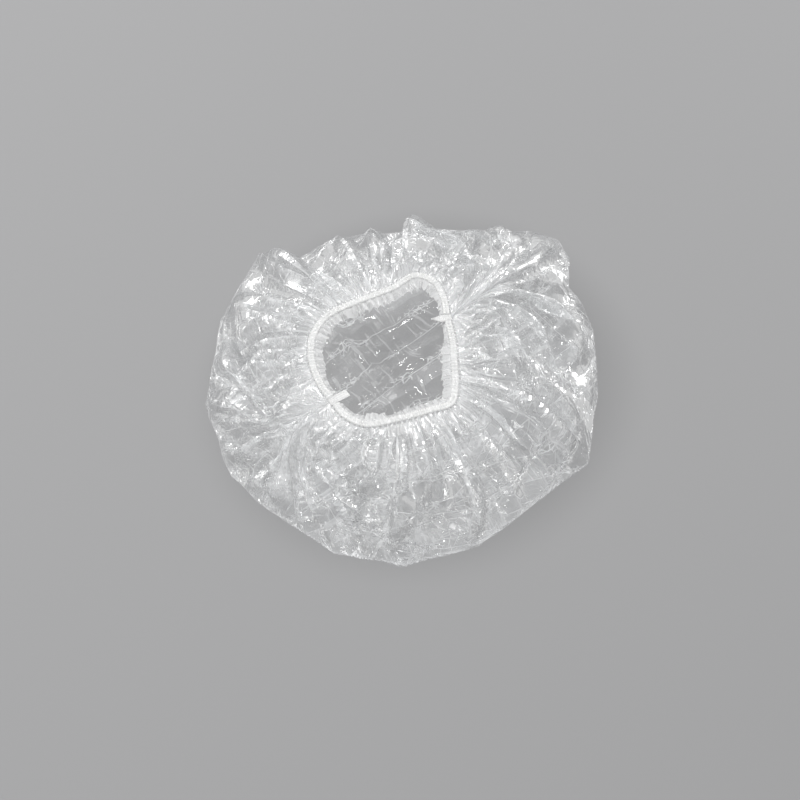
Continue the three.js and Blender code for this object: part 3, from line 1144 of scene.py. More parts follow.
    def first_ripples(self, fold_pass: FoldPass, grid: SheetGrid, rng: np.random.Generator) -> np.ndarray:
        """Random heights from which the folds grow: ribs at the mouth, pleats in the fans, some roughness.

        Args:
            fold_pass: the pass of the solver.
            grid: points of the sheet.
            rng: seeded random source.

        Returns:
            Heights above the smooth bag.
        """
        rows, columns = fold_pass.rows, fold_pass.columns
        in_fan = self.pleat_shares(grid)[0]
        ribs = rng.normal(0.0, 1.0, (rows, 1)) * np.exp(-grid.away / self.pleat_reach) * (1.0 - in_fan)
        pleats = rng.normal(0.0, 1.0, (1, columns)) * in_fan
        rough = rng.normal(0.0, 1.0, (rows, columns))
        mixed = self.rough_share * rough + ribs + self.fan_share * pleats
        return fold_pass.ripple * fold_pass.free(grid.away) * mixed

    def relax(self, fold_pass: FoldPass, start: np.ndarray | None, rng: np.random.Generator) -> np.ndarray:
        """One pass of the fold solver.

        Args:
            fold_pass: its fineness and strength.
            start: places from the pass before, or None.
            rng: seeded random source.

        Returns:
            Places of the folded film.
        """
        grid = self.sheet_grid(fold_pass.rows, fold_pass.columns)
        under = grid.under[..., None]
        smooth = self.surface(grid.theta, grid.share)
        smooth[..., 2] += grid.under * self.pleat_heights(grid.flat)
        base = smooth
        if start is not None:
            base = refine(refine(start, fold_pass.rows, 0), fold_pass.columns, 1)
        rests, slacks = self.rest_lengths(fold_pass, smooth, grid)
        bends = [self.stiffness - self.slack_softness * slack for slack in slacks]
        points = base + grid_normals(smooth) * self.first_ripples(fold_pass, grid, rng)[..., None]
        edges = [self.ruffled_edge(smooth[:, column], rng) for column in (0, -1)]
        lowest = np.where(grid.share < grid.rim_at, self.sink * smooth[..., 2], TABLE_GAP)
        room_share, most_room = self.under_room
        room = np.minimum(room_share * self.top_height(grid.theta, smooth), most_room)
        highest = np.where(grid.share > grid.turn_at, room, self.ceiling)
        at_rim = grid.at_rim(self.rim_reach)[..., None]
        settled = np.maximum(at_rim, under)
        target = smooth * settled + base * (1.0 - settled)
        past = ease(grid.away, fold_pass.ends, fold_pass.ends + self.past_reach)[..., None]
        hold = fold_pass.hold + self.rim_hold * at_rim + self.under_hold * under + self.past_hold * past
        hold = np.minimum(hold, 1.0)

        def grow(rounds: int) -> None:
            """Lets the film take up its lengths, between the table and the top of the bag."""
            for _ in range(rounds):
                pull_grid(points, *rests, *bends)
                points[...] += hold * (target - points)
                np.clip(points[..., 2], lowest, highest, out=points[..., 2])
                points[:, 0], points[:, -1] = edges

        grow(fold_pass.rounds)
        above = 1.0 - np.maximum(under, past)
        for _ in range(fold_pass.flatten):
            self.straighten(points, grid)
            points[...] += above * (facet(points, self.facet_rounds) - points)
            target = target + above * (points - target)
            grow(self.regrow_rounds)
        self.calm(points, smooth)
        points[:, 0], points[:, -1] = edges
        return points

    def rest_lengths(self, fold_pass: FoldPass, smooth: np.ndarray, grid: SheetGrid) -> tuple[list, list]:
        """Lengths that the grid's edges try to keep.

        Args:
            fold_pass: its fineness, and where the film is free.
            smooth: places on the smooth bag.
            grid: points of the sheet.

        Returns:
            Lengths along the rows and the columns, and the slack of the middle points of each pair of edges.
        """
        free, under = fold_pass.free(grid.away), grid.under
        rests, slacks = [], []
        for axis, taut in enumerate(self.pleat_shares(grid)):
            now = np.linalg.norm(np.diff(smooth, axis=axis), axis=2)
            cut = np.linalg.norm(np.diff(grid.flat, axis=axis), axis=2)
            low, high = self.under_slack[axis], self.top_slack[axis]
            cap = high + (low - high) * midway(np.maximum(under, taut), axis)
            want = np.clip(cut, now, cap * now)
            rests.append(now + midway(free, axis) * (want - now))
            slacks.append(midway(np.clip((want / now - 1.0) / self.full_slack, 0.0, 1.0), axis))
        return rests, slacks

    def crumple(self, points: np.ndarray, grid: SheetGrid) -> None:
        """Presses flat random facets with sharp creases into the film.

        Args:
            points: places of the folded film, which are changed.
            grid: points of the sheet.
        """
        rng = np.random.default_rng(29)
        flat, under = grid.flat, grid.under
        at_rim = grid.at_rim(self.crumple_rim)
        points += self.rim_calm * at_rim[..., None] * (self.surface(grid.theta, grid.share) - points)
        upper = ease(grid.away, *self.crumple_reach) * (1.0 - under) * (1.0 - self.rim_calm * at_rim)
        normal = grid_normals(points)
        zones = ease(facet_heights(flat, self.busy_zones, rng), *self.busy_span)
        busy = self.least_busy + (1.0 - self.least_busy) * zones
        for crumple, zone in ((self.long_crumple, 1.0), *((fine, busy) for fine in self.busy_crumples)):
            heights = facet_heights(flat, crumple, rng)
            points += normal * (crumple.rise * upper * zone * heights)[..., None]
        creased = self.floor_crumple.rise * facet_heights(flat, self.floor_crumple, rng)
        creased = creased + self.floor_pleats * self.pleat_heights(flat)
        points[..., 2] = np.maximum(points[..., 2] + under * creased, TABLE_GAP)

    def gather_values(self, grid: SheetGrid) -> np.ndarray:
        """How densely the film is gathered, at the mouth, on the upper side and in the fans, with a painted
        sheen line along the rim.

        Args:
            grid: points of the sheet.

        Returns:
            Values from 0 up.
        """
        away = grid.away
        edge, upper, fanned, rim = self.edge_gather, self.upper_gather, self.fan_gather, self.painted_rim_sheen
        gather = edge.strength * np.exp(-away / edge.reach)
        gather += upper.strength * (1.0 - grid.under) * np.exp(-(away / upper.reach) ** 2)
        gather += fanned.strength * self.by_angle(grid.theta, self.fan) ** 2 * np.exp(-away / fanned.reach)
        # Painted sheen: a milky line along the rim, where the film is seen edge-on
        gather += rim.strength * grid.at_rim(rim.reach)
        return np.minimum(gather, self.most_gather)

    def build(self, finish: bpy.types.Material) -> bpy.types.Object:
        """Makes the folded film.

        Args:
            finish: the film's material.

        Returns:
            The piece.
        """
        points = self.fold()
        grid = self.sheet_grid(*points.shape[:2])
        self.crumple(points, grid)
        low, high = (np.array(corner) for corner in CAD_BOX)
        np.clip(points, low, high + np.array(self.headroom), out=points)
        piece = strip_piece("folded_film", points, grid.flat)
        set_point_values(piece, GATHER, self.gather_values(grid))
        set_point_values(piece, CREASE, crease_values(points))
        set_point_values(piece, FLOOR, grid.under)
        select_only(piece)
        bpy.ops.object.shade_smooth_by_angle(angle=math.radians(self.sharp_from))
        piece.data.materials.append(finish)
        let_light_through(piece)
        return piece


def facet_heights(flat: np.ndarray, crumple: Crumple, rng: np.random.Generator,
                  winding: float = 0.35) -> np.ndarray:
    """Heights of a sheet of random flat triangles.

    Args:
        flat: places on the flat film.
        crumple: size and direction of the triangles.
        rng: seeded random source.
        winding: how far their rows wind from side to side, in widths.

    Returns:
        Heights about zero, one for each place.
    """
    c, s = math.cos(math.radians(crumple.turn)), math.sin(math.radians(crumple.turn))
    x = (c * flat[..., 0] + s * flat[..., 1]) / crumple.pitch
    y = (c * flat[..., 1] - s * flat[..., 0]) / (crumple.pitch * crumple.aspect)
    x, y = x + winding * np.sin(1.7 * y + 0.6 * x), y + winding * np.sin(1.9 * x - 0.5 * y)
    i, j = np.floor(x - x.min()).astype(int), np.floor(y - y.min()).astype(int)
    fx, fy = (x - x.min() - i)[..., None], (y - y.min() - j)[..., None]
    knots = rng.normal(0.0, 1.0, (i.max() + 2, j.max() + 2))[..., None]
    near, far = knots[i, j], knots[i + 1, j + 1]
    right, left = knots[i + 1, j], knots[i, j + 1]
    low = near + (right - near) * fx + (left - near) * fy
    high = far + (left - far) * (1.0 - fx) + (right - far) * (1.0 - fy)
    return np.where(fx + fy < 1.0, low, high)[..., 0]


def dot(a: np.ndarray, b: np.ndarray) -> np.ndarray:
    """Dot products of the vectors of two grids."""
    return np.einsum("...k,...k->...", a, b)


def unit(vectors: np.ndarray) -> np.ndarray:
    """The vectors of a grid, each one long."""
    return vectors / (np.linalg.norm(vectors, axis=2, keepdims=True) + NEVER_ZERO)


def neighbours(axis: int) -> tuple[tuple, tuple]:
    """Indexes of the lower and the upper one of all pairs of neighbours along an axis of a grid."""
    low, high = [slice(None)] * 2, [slice(None)] * 2
    low[axis], high[axis] = slice(None, -1), slice(1, None)
    return tuple(low), tuple(high)


def midway(values: np.ndarray, axis: int) -> np.ndarray:
    """Means of neighbouring values along an axis."""
    low, high = neighbours(axis)
    return 0.5 * (values[low] + values[high])


def grid_normals(points: np.ndarray) -> np.ndarray:
    """Unit normals at the points of a grid."""
    return unit(np.cross(np.gradient(points, axis=0), np.gradient(points, axis=1)))


def face_normals(points: np.ndarray) -> np.ndarray:
    """Unit normals of the faces of a grid."""
    return unit(np.cross(points[1:, 1:] - points[:-1, :-1], points[:-1, 1:] - points[1:, :-1]))


def even_out(points: np.ndarray, share: np.ndarray, axis: int) -> None:
    """Moves points half of the way to the middle between their neighbours along an axis.

    Args:
        points: grid that is changed.
        share: share of that move which each point makes.
        axis: axis of the neighbours.
    """
    grid = np.swapaxes(points, 0, axis)
    weight = np.swapaxes(share, 0, axis)[1:-1, :, None]
    grid[1:-1] += 0.5 * weight * (0.5 * (grid[2:] + grid[:-2]) - grid[1:-1])


def refine(points: np.ndarray, count: int, axis: int) -> np.ndarray:
    """Cubic resampling of a grid.

    Args:
        points: the grid.
        count: new number of points along the axis.
        axis: axis to resample.

    Returns:
        The finer grid.
    """
    grid = np.swapaxes(points, 0, axis)
    last = len(grid) - 1
    x = np.linspace(0.0, last, count)
    i = np.clip(np.floor(x).astype(int), 0, last - 1)
    f = (x - i).reshape(-1, 1, 1)
    p0, p1, p2, p3 = (grid[np.clip(i + k, 0, last)] for k in (-1, 0, 1, 2))
    cubic = 2.0 * p0 - 5.0 * p1 + 4.0 * p2 - p3 + f * (3.0 * (p1 - p2) + p3 - p0)
    return np.swapaxes(p1 + 0.5 * f * (p2 - p0 + f * cubic), 0, axis)


def pull_pairs(points: np.ndarray, a: tuple, b: tuple, rest: np.ndarray, strength: float,
               push_only: bool = False) -> None:
    """Moves pairs of points towards their rest lengths.

    Args:
        points: grid that is changed.
        a: index of the first points.
        b: index of the second points.
        rest: lengths wanted.
        strength: share of the error that is mended.
        push_only: whether pairs that are too far apart are left.
    """
    gap = points[b] - points[a]
    length = np.sqrt(dot(gap, gap)) + SHORTEST
    share = (length - rest) / length * (0.5 * strength)
    if push_only:
        share = np.minimum(share, 0.0)
    gap *= share[..., None]
    points[a] += gap
    points[b] -= gap


def pull_grid(points: np.ndarray, rest_s: np.ndarray, rest_t: np.ndarray, stiff_s: np.ndarray,
              stiff_t: np.ndarray, edge_pull: float = 1.0, diagonal_pull: float = 0.3,
              bend_pull: float = 0.5) -> None:
    """One round of edge, diagonal and bending pulls over a grid.

    Args:
        points: grid that is changed.
        rest_s: lengths along the rows.
        rest_t: lengths along the columns.
        stiff_s: shares of two edges' length that a bend may not go under, along the rows.
        stiff_t: the same along the columns.
        edge_pull: share of an edge's error that is mended.
        diagonal_pull: share of a diagonal's error that is mended.
        bend_pull: share of a bend's error that is mended.
    """
    rows, columns = points.shape[:2]
    diagonal = np.sqrt(midway(rest_s, 1) ** 2 + midway(rest_t, 0) ** 2)
    for o in (0, 1):
        pull_pairs(points, np.s_[o:rows - 1:2], np.s_[o + 1:rows:2], rest_s[o::2], edge_pull)
    for o in (0, 1):
        pull_pairs(points, np.s_[:, o:columns - 1:2], np.s_[:, o + 1:columns:2], rest_t[:, o::2], edge_pull)
    for o in (0, 1):
        for near, far in ((np.s_[:-1], np.s_[1:]), (np.s_[1:], np.s_[:-1])):
            first, second = np.s_[o:rows - 1:2, near], np.s_[o + 1:rows:2, far]
            pull_pairs(points, first, second, diagonal[o::2], diagonal_pull)
    bend_s = stiff_s * (rest_s[:-1] + rest_s[1:])
    bend_t = stiff_t * (rest_t[:, :-1] + rest_t[:, 1:])
    for o in range(4):
        many = len(range(o + 2, rows, 4))
        pull_pairs(points, np.s_[o:o + 4 * many:4], np.s_[o + 2:rows:4], bend_s[o::4][:many],
                   bend_pull, push_only=True)
        many = len(range(o + 2, columns, 4))
        pull_pairs(points, np.s_[:, o:o + 4 * many:4], np.s_[:, o + 2:columns:4], bend_t[:, o::4][:, :many],
                   bend_pull, push_only=True)


def crease_values(points: np.ndarray, span: Pair = (0.015, 0.35)) -> np.ndarray:
    """How sharply a grid is folded at each point.

    Args:
        points: the grid.
        span: bends that count as none and as a full fold.

    Returns:
        Values from 0 to 1.
    """
    normal = face_normals(points)
    bent = np.zeros(points.shape[:2])
    for axis in (0, 1):
        low, high = neighbours(axis)
        turn = 1.0 - dot(normal[low], normal[high])
        inner = [slice(None, -1)] * 2
        inner[axis] = slice(1, -1)
        bent[tuple(inner)] = np.maximum(bent[tuple(inner)], turn)
    return ease(bent, *span)


def facet(points: np.ndarray, rounds: int, spread: float = 0.32, filters: int = 4,
          moves: int = 3) -> np.ndarray:
    """Flattens the patches between creases and keeps the creases sharp.

    Args:
        points: grid of the folded film.
        rounds: times that the face normals are filtered and the points fitted to them.
        spread: turn between two faces, above which a crease stays.
        filters: filters in each round.
        moves: fits in each round.

    Returns:
        The faceted grid.
    """
    quarters = [np.s_[a, b] for a in (np.s_[:-1], np.s_[1:]) for b in (np.s_[:-1], np.s_[1:])]
    for _ in range(rounds):
        normal = face_normals(points)
        for _ in range(filters):
            total = normal.copy()
            for axis in (0, 1):
                turn = np.diff(normal, axis=axis)
                share = np.exp(-dot(turn, turn) / (2.0 * spread ** 2))[..., None]
                low, high = neighbours(axis)
                total[low] += share * normal[high]
                total[high] += share * normal[low]
            normal = unit(total)
        for _ in range(moves):
            middle = 0.25 * sum(points[quarter] for quarter in quarters)
            move = np.zeros_like(points)
            count = np.zeros(points.shape[:2] + (1,))
            for quarter in quarters:
                move[quarter] += normal * dot(normal, middle - points[quarter])[..., None]
                count[quarter] += 1.0
            points = points + move / count
    return points


@dataclass
class ElasticMouth:
    """What runs along one half of the mouth: two rubber strands, the hem round them and the frill."""

    band: MouthBand
    half: Half
    end_gap: float = 0.0035
    film_step: float = 0.0004
    gathered: float = 2.6

    # Rubber strands
    strand_radius: float = 0.0010
    strand_offset: float = 0.0013
    strand_step: float = 0.0012
    strand_aside: Drift = Drift(0.00008, 0.006)
    strand_rise: Drift = Drift(0.00010, 0.007)
    strand_uneven: Drift = Drift(0.05, 0.004)
    strand_limits: Pair = (0.86, 1.1)
    strand_sides: int = 3

    # Hem, with a flat neck inside each end seal
    hem_half_width: float = 0.0030
    hem_half_height: float = 0.0017
    hem_sides: int = 20
    hem_roundness: float = 0.72
    hem_radian: float = 0.0024
    hem_gather: float = 0.55
    pucker: float = 0.00030
    pucker_pitch: float = 0.0026
    pucker_swing: Drift = Drift(1.6, 0.006)
    pucker_uneven: Drift = Drift(0.35, 0.004)
    pucker_twist: float = 0.9
    neck_gap: float = 0.0008
    neck: Pair = (0.0018, 0.0036)
    neck_half_width: float = 0.0016
    neck_half_height: float = 0.00012

    # Frill
    frill_gap: float = 0.001
    frill_root: float = 0.0026
    frill_width: float = 0.0070
    frill_steps: int = 10
    frill_fall: float = 30.0
    frill_slope: Drift = Drift(0.16, 0.009)
    frill_uneven: Drift = Drift(0.10, 0.0024)
    frill_least: float = 0.4
    frill_full: Pair = (0.005, 0.030)
    frill_gather: Pair = (0.30, 1.00)
    ruffle: float = 0.0015
    ruffle_pitch: float = 0.0052
    ruffle_swing: Drift = Drift(2.2, 0.007)
    ruffle_uneven: Drift = Drift(0.4, 0.005)
    ruffle_root: float = 0.35
    ruffle_twist: float = 0.5
    ruffle_draw: float = 0.35
    lean: float = 0.6
    lean_phase: float = 0.8
    fold_phase: float = 0.9
    fold_span: Pair = (-0.45, 0.25)
    root_share: float = 0.7
    root_span: Pair = (0.6, 1.0)

    def random(self, salt: int) -> np.random.Generator:
        """Seeded random source for one piece of this half."""
        return np.random.default_rng(salt + (0 if self.half is Half.BACK else 100))

    def strand(self, name: str, offset: float, finish: bpy.types.Material) -> bpy.types.Object:
        """One rubber strand.

        Args:
            name: name of the piece.
            offset: distance outwards from the middle of the band.
            finish: the rubber's material.

        Returns:
            The piece.
        """
        run = self.band.half_lengths(self.half, self.end_gap, self.strand_step)
        place, out = self.band.at(run)
        rng = self.random(41 if offset < 0 else 42)
        place = place + out * (offset + drifting(rng, run, self.strand_aside))[:, None]
        place[:, 2] += drifting(rng, run, self.strand_rise)
        thick = 1.0 + drifting(rng, run, self.strand_uneven)
        deselect_all()
        bpy.ops.curve.primitive_nurbs_path_add()
        cord = bpy.context.object
        cord.name = name
        cord.data.splines.clear()
        spline = cord.data.splines.new("POLY")
        spline.points.add(len(run) - 1)
        spline.points.foreach_set("co", np.column_stack([place, np.ones(len(run))]).ravel())
        spline.points.foreach_set("radius", np.clip(thick, *self.strand_limits))
        cord.data.dimensions = "3D"
        cord.data.bevel_depth = self.strand_radius
        cord.data.bevel_resolution = self.strand_sides
        cord.data.use_fill_caps = True
        select_only(cord)
        bpy.ops.object.convert(target="MESH")
        piece = bpy.context.object
        bpy.ops.object.shade_smooth()
        piece.data.materials.clear()
        piece.data.materials.append(finish)
        piece.visible_shadow = False
        return piece

    def film_piece(self, name: str, points: np.ndarray, flat: tuple[np.ndarray, np.ndarray],
                   gather: np.ndarray, finish: bpy.types.Material,
                   closed: bool = False) -> bpy.types.Object:
        """A strip of film along the band.

        Args:
            name: name of the piece.
            points: places of its grid.
            flat: distances on the flat film, along and across the strip.
            gather: how densely the film is gathered at each point.
            finish: the film's material.
            closed: whether the strip is a sleeve.

        Returns:
            The piece.
        """
        piece = strip_piece(name, points, np.stack(np.meshgrid(*flat, indexing="ij"), axis=-1), closed)
        set_point_values(piece, GATHER, gather)
        piece.data.materials.append(finish)
        let_light_through(piece)
        return piece

    def hem(self, name: str, finish: bpy.types.Material) -> bpy.types.Object:
        """The puckered film sleeve round both strands, which narrows to a flat neck inside each end seal.

        Args:
            name: name of the piece.
            finish: the hem film's material.

        Returns:
            The piece.
        """
        run = self.band.half_lengths(self.half, self.neck_gap, self.film_step)
        place, out = self.band.at(run)
        rng = self.random(7)
        around = np.linspace(0.0, 2 * np.pi, self.hem_sides, endpoint=False)
        swing = 2 * np.pi * run / self.pucker_pitch + drifting(rng, run, self.pucker_swing)
        size = self.pucker * (1.0 + drifting(rng, run, self.pucker_uneven))
        wave = size[:, None] * np.sin(swing[:, None] + self.pucker_twist * np.sin(around)[None])
        from_seal = self.neck_gap + np.minimum(run - run[0], run[-1] - run)
        full = ease(from_seal, *self.neck)[:, None]
        wide, tall = (neck + full * (half_size - self.pucker + wave - neck) for neck, half_size in (
            (self.neck_half_width, self.hem_half_width), (self.neck_half_height, self.hem_half_height)))
        across, upward = (np.sign(turn) * np.abs(turn) ** self.hem_roundness
                          for turn in (np.cos(around), np.sin(around)))
        points = place[:, None] + out[:, None] * (wide * across)[..., None]
        points[..., 2] += tall * upward
        gather = np.full(points.shape[:2], self.hem_gather)
        flat = (run * self.gathered, around * self.hem_radian)
        return self.film_piece(name, points, flat, gather, finish, closed=True)

    def frill(self, name: str, finish: bpy.types.Material) -> bpy.types.Object:
        """The ruffled film past the hem, which hangs into the mouth.

        Args:
            name: name of the piece.
            finish: the frill film's material.

        Returns:
            The piece.
        """
        run = self.band.half_lengths(self.half, self.end_gap + self.frill_gap, self.film_step)
        place, out = self.band.at(run)
        rng = self.random(19)
        w = np.linspace(0.0, 1.0, self.frill_steps)
        swing = 2 * np.pi * run / self.ruffle_pitch + drifting(rng, run, self.ruffle_swing)
        size = self.ruffle * (1.0 + drifting(rng, run, self.ruffle_uneven))
        uneven = 1.0 + drifting(rng, run, self.frill_uneven)
        full = ease(np.minimum(run - run[0], run[-1] - run), *self.frill_full)
        reach = self.frill_width * uneven * (self.frill_least + (1.0 - self.frill_least) * full)
        slope = math.radians(self.frill_fall) + drifting(rng, run, self.frill_slope)
        grow = self.ruffle_root + (1.0 - self.ruffle_root) * w
        wave = (size[:, None] * grow) * np.sin(swing[:, None] + self.ruffle_twist * w)
        lean = (self.lean * size[:, None] * grow) * np.sin(2.0 * swing[:, None] + self.lean_phase)
        inward = self.frill_root + reach[:, None] * w * np.cos(slope)[:, None] - self.ruffle_draw * wave
        along = np.stack([-out[:, 1], out[:, 0], np.zeros(len(run))], axis=1)
        points = place[:, None] - out[:, None] * inward[..., None] + along[:, None] * lean[..., None]
        points[..., 2] += wave - reach[:, None] * w * np.sin(slope)[:, None]
        folded = ease(np.sin(swing + self.fold_phase), *self.fold_span)[:, None]
        dense = np.maximum(folded, self.root_share * ease(1.0 - w, *self.root_span))
        least, more = self.frill_gather
        flat = (run * self.gathered, w * self.frill_width)
        return self.film_piece(name, points, flat, least + more * dense, finish)


@dataclass
class EndSeal:
    """A crimped tab across the band, where the pleats of one end are welded together."""

    band: MouthBand
    side: Side
    outer: float = -0.0030
    inner: float = 0.0120
    width: float = 0.0060
    thickness: float = 0.0013
    edge_round: float = 0.0003
    round_steps: int = 2
    cuts: int = 40
    sharp_from: float = 40.0
    edge_thinning: float = 0.10
    crimps: int = 10
    crimp_depth: float = 0.00040
    pleats: float = 3.5
    pleat_phase: float = 0.6
    pleat_depth: float = 0.00022
    pleat_fade: float = 0.4
    waist: float = 0.24
    waist_at: float = 0.20
    waist_reach: float = 0.16
    bend_from: float = 0.4
    left_widening: float = 0.05
    left_drop: float = 0.0008
    right_narrowing: float = 0.80
    narrow_from: float = 0.45
    right_lean: float = 0.0012
    right_rise: float = 0.0012

    def build(self, name: str, finish: bpy.types.Material) -> bpy.types.Object:
        """Makes the tab.

        Args:
            name: name of the piece.
            finish: the welded film's material.

        Returns:
            The piece.
        """
        deselect_all()
        bpy.ops.mesh.primitive_cube_add(size=1.0)
        piece = bpy.context.object
        piece.name = name
        bpy.ops.transform.resize(value=(self.inner - self.outer, self.width, self.thickness))
        bpy.ops.object.transform_apply(location=False, rotation=False, scale=True)
        bpy.ops.object.mode_set(mode="EDIT")
        bpy.ops.mesh.select_all(action="SELECT")
        bpy.ops.mesh.bevel(offset=self.edge_round, segments=self.round_steps, affect="EDGES")
        bpy.ops.mesh.select_all(action="SELECT")
        bpy.ops.mesh.subdivide(number_cuts=self.cuts)
        bpy.ops.object.mode_set(mode="OBJECT")
        self.shape(piece)
        seal, out = self.band.seal_place(self.side)
        turn = Matrix.Rotation(math.atan2(-out.y, -out.x), 4, "Z")
        piece.data.transform(Matrix.Translation(seal) @ turn)
        select_only(piece)
        bpy.ops.object.shade_smooth_by_angle(angle=math.radians(self.sharp_from))
        piece.data.materials.append(finish)
        return piece

    def shape(self, piece: bpy.types.Object) -> None:
        """Presses the crimps, gathers the pleats and shapes the tab's free end."""
        mesh = piece.data
        points = np.empty(3 * len(mesh.vertices))
        mesh.vertices.foreach_get("co", points)
        points = points.reshape(-1, 3)
        way = points[:, 0] / (self.inner - self.outer) + 0.5
        aside = points[:, 1] / self.width
        crimp = np.cos(2 * np.pi * self.crimps * way)
        pleat = np.sin(2 * np.pi * self.pleats * aside + self.pleat_phase)
        points[:, 2] *= 1.0 - self.edge_thinning * aside ** 2
        points[:, 2] += np.sign(points[:, 2]) * self.crimp_depth * 0.5 * (crimp - 1.0)
        points[:, 2] += self.pleat_depth * pleat * (1.0 - self.pleat_fade * way)
        waist = 1.0 - self.waist * np.exp(-((way - self.waist_at) / self.waist_reach) ** 2)
        bend = ease(way, self.bend_from, 1.0)
        if self.side is Side.LEFT:
            tip = 1.0 + self.left_widening * way
            points[:, 2] -= self.left_drop * bend
        else:
            tip = 1.0 - self.right_narrowing * ease(way, self.narrow_from, 1.0)
            points[:, 1] += self.right_lean * bend
            points[:, 2] += self.right_rise * bend
        points[:, 1] *= waist * tip
        points[:, 0] += (self.inner + self.outer) / 2
        mesh.vertices.foreach_set("co", points.ravel())
        mesh.update()


@dataclass(frozen=True)
class WeldFinish:
    """Several layers of film welded together: milky white, slightly see-through."""

    name: str = "welded_film"
    colour: Colour = (0.97, 0.97, 0.97, 1.0)
    tint: Colour = (0.98, 0.985, 0.99, 1.0)
    roughness: float = 0.4
    index: float = 1.5
    glow: float = 0.06
    layer_scale: float = 600.0
    haze: Ramp = Ramp(0.3, 0.6, 0.9, 1.0)
    relief: Pair = (0.0002, 0.4)

    def material(self) -> bpy.types.Material:
        """Builds the material from noise on Object coordinates."""
        board = NodeBoard(self.name)
        layers = board.noise(board.add("TexCoord").outputs["Object"], self.layer_scale, 3.0)
        bump = board.bump(layers, self.relief)
        clear = board.add("BsdfTransparent", {"Color": self.tint}).outputs[0]
        lit = board.add("BsdfDiffuse", {"Color": self.colour, "Normal": bump}).outputs[0]
        glow = board.add("BsdfTranslucent", {"Color": self.colour, "Normal": bump}).outputs[0]
        body = board.blend(board.ramp(layers, self.haze), clear, board.blend(self.glow, lit, glow))
        gloss = board.add("BsdfGlossy", {"Roughness": self.roughness, "Normal": bump}).outputs[0]
        fresnel = board.add("Fresnel", {"IOR": self.index, "Normal": bump}).outputs[0]
        return board.done(board.blend(fresnel, body, gloss))


@dataclass(frozen=True)
class Lamp:
    """A soft square or slim lamp of the studio."""

    name: str
    place: Triple
    size: float
    power: float
    slimness: float = 1.0

    def build(self) -> None:
        """Adds the lamp, turned to the middle of the table."""
        deselect_all()
        bpy.ops.object.light_add(type="AREA", location=self.place)
        lamp = bpy.context.object
        lamp.name = self.name
        lamp.data.shape = "RECTANGLE"
        lamp.data.size = self.size
        lamp.data.size_y = self.size / self.slimness
        lamp.data.energy = self.power
        lamp.rotation_euler = (-Vector(self.place)).to_track_quat("-Z", "Y").to_euler()


